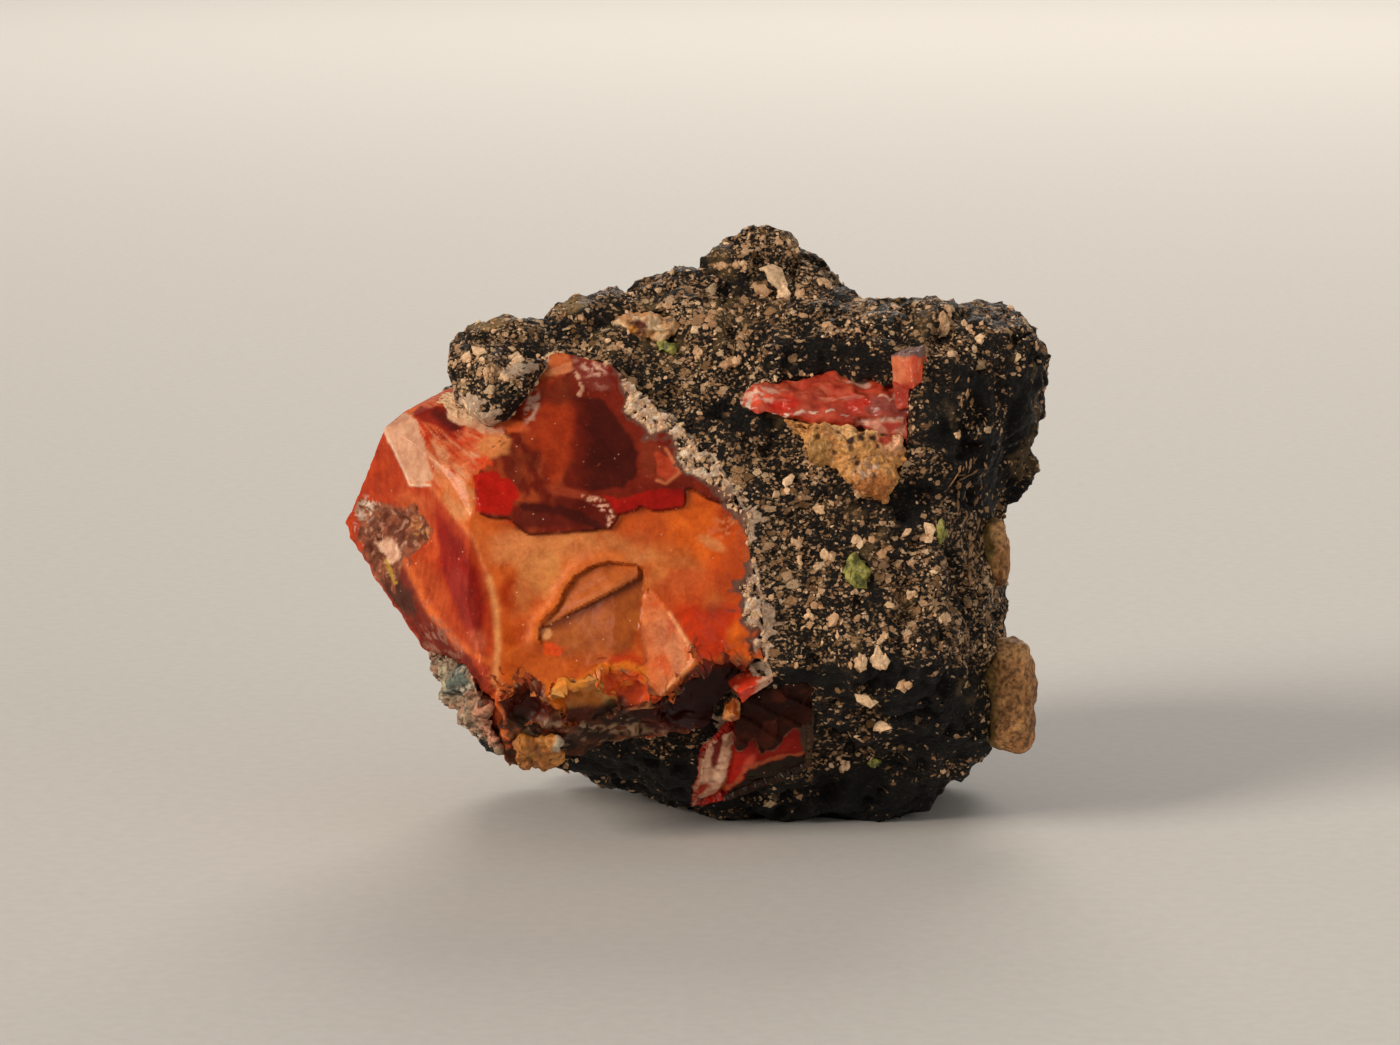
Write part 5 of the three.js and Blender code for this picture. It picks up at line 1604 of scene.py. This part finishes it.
# %% The speckled finish
CREAMS = [
    (0, (0.21, 0.105, 0.04)), (0.3, (0.46, 0.25, 0.115)), (0.65, (0.7, 0.42, 0.225)), (1, (0.95, 0.66, 0.4)),
]  # fmt: skip
PEPPER = [(0, (0.005, 0.005, 0.005)), (0.62, (0.012, 0.01, 0.008)), (0.76, (0.045, 0.03, 0.018)),
          (0.88, (0.12, 0.07, 0.035)), (0.96, (0.4, 0.24, 0.12)), (1, (0.6, 0.38, 0.21))]  # fmt: skip
GRAINS = ((0.36, 0.25, 0.6), (0.62, 0.15, 0.8), (1.1, 0.07, 1.0))  # size, share and height of the cream ones

rock = Finish("speckled_rock", IOR=1.5, Specular_IOR_Level=0.22)
crowd_and_shade_here = rock.painted("crowding_and_shade").outputs["Fac"]
flow = rock.turned((1, 1, 1.3), (18, 28, 0))
ragged = rock.shaken(0.4, 0.4, flow)
pepper = rock.cells(0.22, vector=ragged)
pepper_chance = rock.red_of(pepper.outputs["Color"])
crowd_and_shade_shift = rock.math("MULTIPLY", rock.math("SUBTRACT", crowd_and_shade_here, 1.0), 0.25)
colour = rock.ramp(rock.math("ADD", pepper_chance, crowd_and_shade_shift), *PEPPER)
raised = rock.math("MULTIPLY", rock.math("SUBTRACT", 1.0, pepper.outputs["Distance"]), 0.5)
gloss = 0.5
for size, share, height in GRAINS:
    crystals = rock.cells(size, vector=ragged)
    edge = rock.cells(size, "DISTANCE_TO_EDGE", ragged).outputs["Distance"]
    parts = rock.node("SeparateColor", Color=crystals.outputs["Color"])
    chosen = rock.math("ADD", parts.outputs[0], rock.math("MULTIPLY", crowd_and_shade_here, share))
    fleck = rock.math("MULTIPLY", rock.step(chosen, 0.985, 1.015), rock.step(edge, 0.03, 0.1))
    colour = rock.mix(fleck, colour, rock.ramp(parts.outputs[1], *CREAMS))
    raised = rock.math("MAXIMUM", raised, rock.math("MULTIPLY", fleck, height))
    gloss = rock.math("MAXIMUM", gloss, rock.math("MULTIPLY", fleck, 0.6))
grain_shade = rock.clouds(0.18, detail=3, roughness=0.7).outputs[0]
grain_shade = rock.ramp(grain_shade, (0.3, (0.55, 0.55, 0.55)), (0.7, (1.3, 1.3, 1.3)))
colour = rock.mix(1.0, colour, grain_shade, "MULTIPLY")
chalk_cloud = rock.clouds(0.7, detail=5, roughness=0.7).outputs[0]
CHALKS = ((0.3, (0.3, 0.18, 0.11)), (0.46, (0.74, 0.5, 0.34)), (0.66, (0.97, 0.76, 0.56)))
chalk = rock.ramp(chalk_cloud, *CHALKS)
crust_share = rock.math("MULTIPLY", rock.painted("crusted").outputs["Fac"], 1.5)
crust_share = rock.step(rock.math("ADD", crust_share, rock.math("SUBTRACT", chalk_cloud, 0.5)), 0.6, 0.9)
colour = rock.mix(crust_share, colour, chalk)
rim_share = rock.math("MULTIPLY", rock.painted("rim").outputs["Fac"], rock.step(chalk_cloud, 0.66, 0.52))
colour = rock.mix(rim_share, colour, (0.1, 0.06, 0.05))
stain_share = rock.math("MULTIPLY", rock.painted("stain").outputs["Fac"], rock.step(chalk_cloud, 0.36, 0.5))
colour = rock.mix(rock.math("MULTIPLY", stain_share, 0.75), colour, (0.42, 0.26, 0.1))
gloss = rock.math("MAXIMUM", gloss, rock.math("MULTIPLY", crust_share, 0.8))
surface = rock.relief(raised, 0.16)
surface = rock.relief(rock.clouds(0.7, detail=6, roughness=0.75).outputs[0], 0.7, over=surface)
settled(matrix, "matrix", rock.finish(colour, gloss, surface))

# %% [markdown]
# ## Crystals that stand out of the rock
#
# The largest crystals are not in the surface but on it: flat cream laths and blocks that catch the light
# on their edges. One could paint them, but then the rock's outline and its shadows would stay smooth. So
# five chips are modelled, each of twenty to thirty triangles, and thousands of copies are laid on the
# matrix, most of them roughly along the flow of the old lava, sunk to about half their thickness. The
# crystals that one would know the stone by have a place, a size and a turn of their own.

# %% Master chips
def master_chip(corners, seed):
    """A flat angular chip, one unit from its middle to its corners."""
    bpy.ops.object.select_all(action="DESELECT")
    bpy.ops.mesh.primitive_cylinder_add(vertices=corners, radius=1, depth=0.6)
    chip = bpy.context.object
    bpy.ops.object.mode_set(mode="EDIT")
    bpy.ops.mesh.select_all(action="DESELECT")
    bpy.ops.object.mode_set(mode="OBJECT")
    for polygon in chip.data.polygons:
        polygon.select = polygon.normal.z > 0.9
    bpy.ops.object.mode_set(mode="EDIT")
    bpy.ops.mesh.select_mode(type="FACE")
    bpy.ops.mesh.inset(thickness=0.22, depth=0.18)
    bpy.ops.object.mode_set(mode="OBJECT")
    chance = random.Random(seed)
    for vertex in chip.data.vertices:
        vertex.co += Vector([chance.uniform(-reach, reach) for reach in (0.25, 0.25, 0.1)])
    chip.data.calc_loop_triangles()
    corners_of = np.array([vertex.co for vertex in chip.data.vertices])
    faces = np.array([triangle.vertices for triangle in chip.data.loop_triangles])
    bpy.data.objects.remove(chip)
    return corners_of, faces


CHIPS = [master_chip(corners, seed) for corners, seed in ((4, 1), (5, 2), (6, 3), (5, 4), (4, 7))]
print("chips have", [len(faces) for _, faces in CHIPS], "triangles")

# %% Laying the chips
FLOW = np.array([0.86, 0.0, -0.5])
SUNK = -0.12  # how far a chip is pushed into the ground, in its own thickness
NAMED_CRYSTALS = [  # right and up on the tracing plane, length, width, turn in degrees, shade
    (7.5, 24.6, 3.4, 1.3, -58, 0.85), (8.3, 23.1, 1.6, 1.2, -40, 0.95), (24.3, 19.6, 1.4, 1.2, 0, 0.8),
    (26.8, 19.4, 0.9, 0.7, 0, 0.9), (27.7, 18.1, 1.5, 1.1, 60, 0.95), (25, 21.2, 0.8, 0.7, 0, 0.8),
    (25, 16.8, 1.1, 0.6, 10, 0.8), (8.8, 4.1, 1.7, 0.6, 60, 0.9), (7.6, 2.9, 1.4, 0.5, 30, 0.8),
    (12, 1.4, 1.1, 0.8, 80, 0.9), (9.6, -2, 1.5, 0.4, -35, 0.8), (15.9, -2, 1.0, 0.9, 0, 0.8),
    (18.4, -2.9, 1.5, 1.2, 20, 0.3), (20.7, -0.9, 1.5, 0.5, 40, 0.9), (22.9, -1.2, 1.6, 1.2, 10, 0.85),
    (12.5, -3.3, 1.1, 1, 0, 0.8), (10, -3.8, 0.7, 0.7, 0, 0.95), (1.9, 25.7, 1.2, 0.8, 0, 0.7),
    (4, 25.9, 1, 0.8, 0, 0.8), (12.5, 24, 1.6, 0.7, 0, 0.7), (10.1, 22.9, 0.8, 0.8, 0, 0.8),
    (6.1, 23.3, 2, 0.8, -20, 0.6), (-0.4, 16.7, 0.9, 0.9, 0, 0.7), (3.2, 16, 1.6, 1, 20, 0.5),
    (25.9, 8.8, 1, 0.5, 60, 0.9), (-22, 17, 2.4, 0.7, -30, 0.9), (-23.1, 16.4, 0.9, 0.9, 0, 0.95),
    (-18.3, 16.4, 1.8, 0.9, 10, 0.95), (-21.2, 15.1, 1, 1, 0, 0.8), (0.9, 20.5, 1.8, 1, 10, 0.4),
    (24.3, -9.7, 0.9, 0.9, 0, 0.9), (21.3, -7, 1.2, 0.9, 0, 0.8), (17.9, -14, 1.4, 1.4, 20, 0.95),
    (16.1, -14, 1.2, 1.2, 0, 0.9), (18.3, -11.3, 0.9, 0.9, 0, 0.9), (10.9, -9.1, 0.8, 0.8, 0, 0.95),
    (16.4, -17.7, 2.4, 0.8, -25, 0.8), (18.2, -20.4, 2.2, 0.8, 0, 0.8), (14.3, -24.2, 1.1, 0.8, -20, 0.8),
    (13.3, -9.8, 1.6, 0.6, 80, 0.8), (20.6, -16.2, 1.2, 1, 0, 0.6), (-7.9, 17.8, 1.4, 0.8, 20, 0.6),
]  # fmt: skip


def chip_on(place, out, way, length, width, thick, kind):
    """One chip's corners, lying on a place with its length along a way."""
    along_chip = np.cross(out, np.cross(way, out))
    along_chip /= np.linalg.norm(along_chip) + 1e-9
    across = np.cross(out, along_chip)
    axes = np.stack([along_chip * length, across * width, out * thick])
    return place + (CHIPS[kind][0] + (0, 0, SUNK)) @ axes


def joined(name, corner_lists, kinds, shades):
    """One piece from many chips, each with a shade of its own."""
    count, faces = 0, []
    for corners, kind in zip(corner_lists, kinds):
        faces.append(CHIPS[kind][1] + count)
        count += len(corners)
    piece = bpy.data.objects.new(name, bpy.data.meshes.new(name))
    bpy.context.collection.objects.link(piece)
    piece.data.from_pydata((np.concatenate(corner_lists) * MM).tolist(), [], np.concatenate(faces).tolist())
    store(piece, "shade", np.concatenate([np.full(len(c), s) for c, s in zip(corner_lists, shades)]))
    return piece


def laid_chips(
    name, count, seed, sizes, allowed, ground, shade_span=(0, 1), main_way=FLOW, thickest=0.28, slim=1
):
    """Chips laid on a ground of (places, normals) where allowed is high. Small sizes are far more common."""
    chance = np.random.default_rng(seed)
    corner_lists, kinds, shades = [], [], []
    for index in chance.choice(len(allowed), size=count, p=allowed / allowed.sum()):
        out = ground[1][index] + chance.normal(0, 0.2, 3)
        out /= np.linalg.norm(out)
        length = sizes[0] * (sizes[1] / sizes[0]) ** (chance.random() ** 2.6) / 2
        width = length * chance.uniform(0.35, 0.95) * slim
        way = main_way + chance.normal(0, 1, 3)
        kinds.append(chance.integers(len(CHIPS)))
        thick = min(width * 0.8, thickest)
        corner_lists.append(chip_on(ground[0][index], out, way, length, width, thick, kinds[-1]))
        shades.append(shade_span[0] + (shade_span[1] - shade_span[0]) * chance.random() ** 0.6)
    return joined(name, corner_lists, kinds, shades)


# Fewer laths lie where the rock is less crowded, and fewer again in its painted shade.
open_rock = step(near, 0.7, 1.3) * (places[:, 2] > 0.8) * np.clip(crowding_and_shade, 0.04, 2) ** 1.8
laths = laid_chips("feldspar_laths", 7000, 5, (0.2, 1), open_rock, (places, normals))
wall = blot((27.4, 3), (1.8, 10), 4, wobble=0.5) * (places[:, 1] < 0)
wall_laths = laid_chips("wall_laths", 150, 8, (0.5, 2), wall, (places, normals), (0, 0.25), 4 * UP, slim=0.4)
crumbs = step(to_carnelian, 2.6, 1) * step(near, 0.1, 0.4) * (0.1 + crusted) * (0.3 + 0.7 * front)
crust_chips = laid_chips(
    "crust_crumbs", 1700, 6, (0.25, 0.9), crumbs, (places, normals), (0.6, 1), thickest=0.5
)
stone_ground = (places_of(carnelian), normals_of(carnelian))
sugar_chips = laid_chips(
    "seam_sugar", 520, 9, (0.2, 0.8), on_seam + 1e-9, stone_ground, (0.6, 1), thickest=0.5
)
both = tuple(np.concatenate(pair) for pair in zip((places, normals), stone_ground))
away = (seen(both[0]) - (-24.1, 11.7)) @ np.array([[0.82, 0.57], [-0.57, 0.82]])
fibres = (np.sum((away / (1.9, 1.1)) ** 2, axis=1) < 1) * (toward_eye(*both) > 0.1)
fibres = fibres * (both[0][:, 1] < -10) + 1e-9
fibre_chips = laid_chips(
    "fibrous_crust", 220, 10, (0.5, 1.7), fibres, both, (0.7, 1), np.array([4, 0, -2.6]), 0.4, 0.4
)

CLUSTER = 6  # chips that make up one broad crystal

rock_tree = tree_of(matrix)
chance = np.random.default_rng(12)
corner_lists, kinds, shades = [], [], []
for right, up, length, width, turn, shade in NAMED_CRYSTALS:
    way = np.array([math.cos(math.radians(turn)), math.sin(math.radians(turn))])
    slim = width < 0.45 * length
    for _ in range(1 if slim else CLUSTER):
        loose = 0 if slim else 1
        away = loose * chance.normal(0, 0.26, 2) * (length, width)
        spot = np.array([right, up]) + away[0] * way + away[1] * np.array([-way[1], way[0]])
        place = face_at(rock_tree, spot)
        if place is None:
            continue
        out = np.array(rock_tree.find_nearest(Vector(place))[1]) + 0.5 * BACK + chance.normal(0, 0.15, 3)
        share = 0.5 if slim else chance.uniform(0.2, 0.38)
        kinds.append(chance.integers(len(CHIPS)))
        lie = np.array([way[0], 0, way[1]]) + loose * chance.normal(0, 0.5, 3)
        corner_lists.append(chip_on(place, out, lie, length * share, width * share, 0.4, kinds[-1]))
        shades.append(min(1, max(0, shade + chance.normal(0, 0.12))))
large_laths = joined("large_laths", corner_lists, kinds, shades)

feldspar = Finish("cream_feldspar", Roughness=0.5, Specular_IOR_Level=0.4)
grains = feldspar.clouds(0.4, detail=4, roughness=0.7).outputs[0]
cream = feldspar.ramp(feldspar.painted("shade").outputs["Fac"], *CREAMS)
shade = feldspar.ramp(grains, (0.3, (0.55, 0.5, 0.46)), (0.65, (1.12, 1.12, 1.12)))
cream = feldspar.mix(1.0, cream, shade, "MULTIPLY")
feldspar_finish = feldspar.finish(cream, normal=feldspar.relief(grains, 0.1))
for piece in (laths, wall_laths, crust_chips, sugar_chips, fibre_chips, large_laths):
    settled(piece, None, feldspar_finish, crease=25)
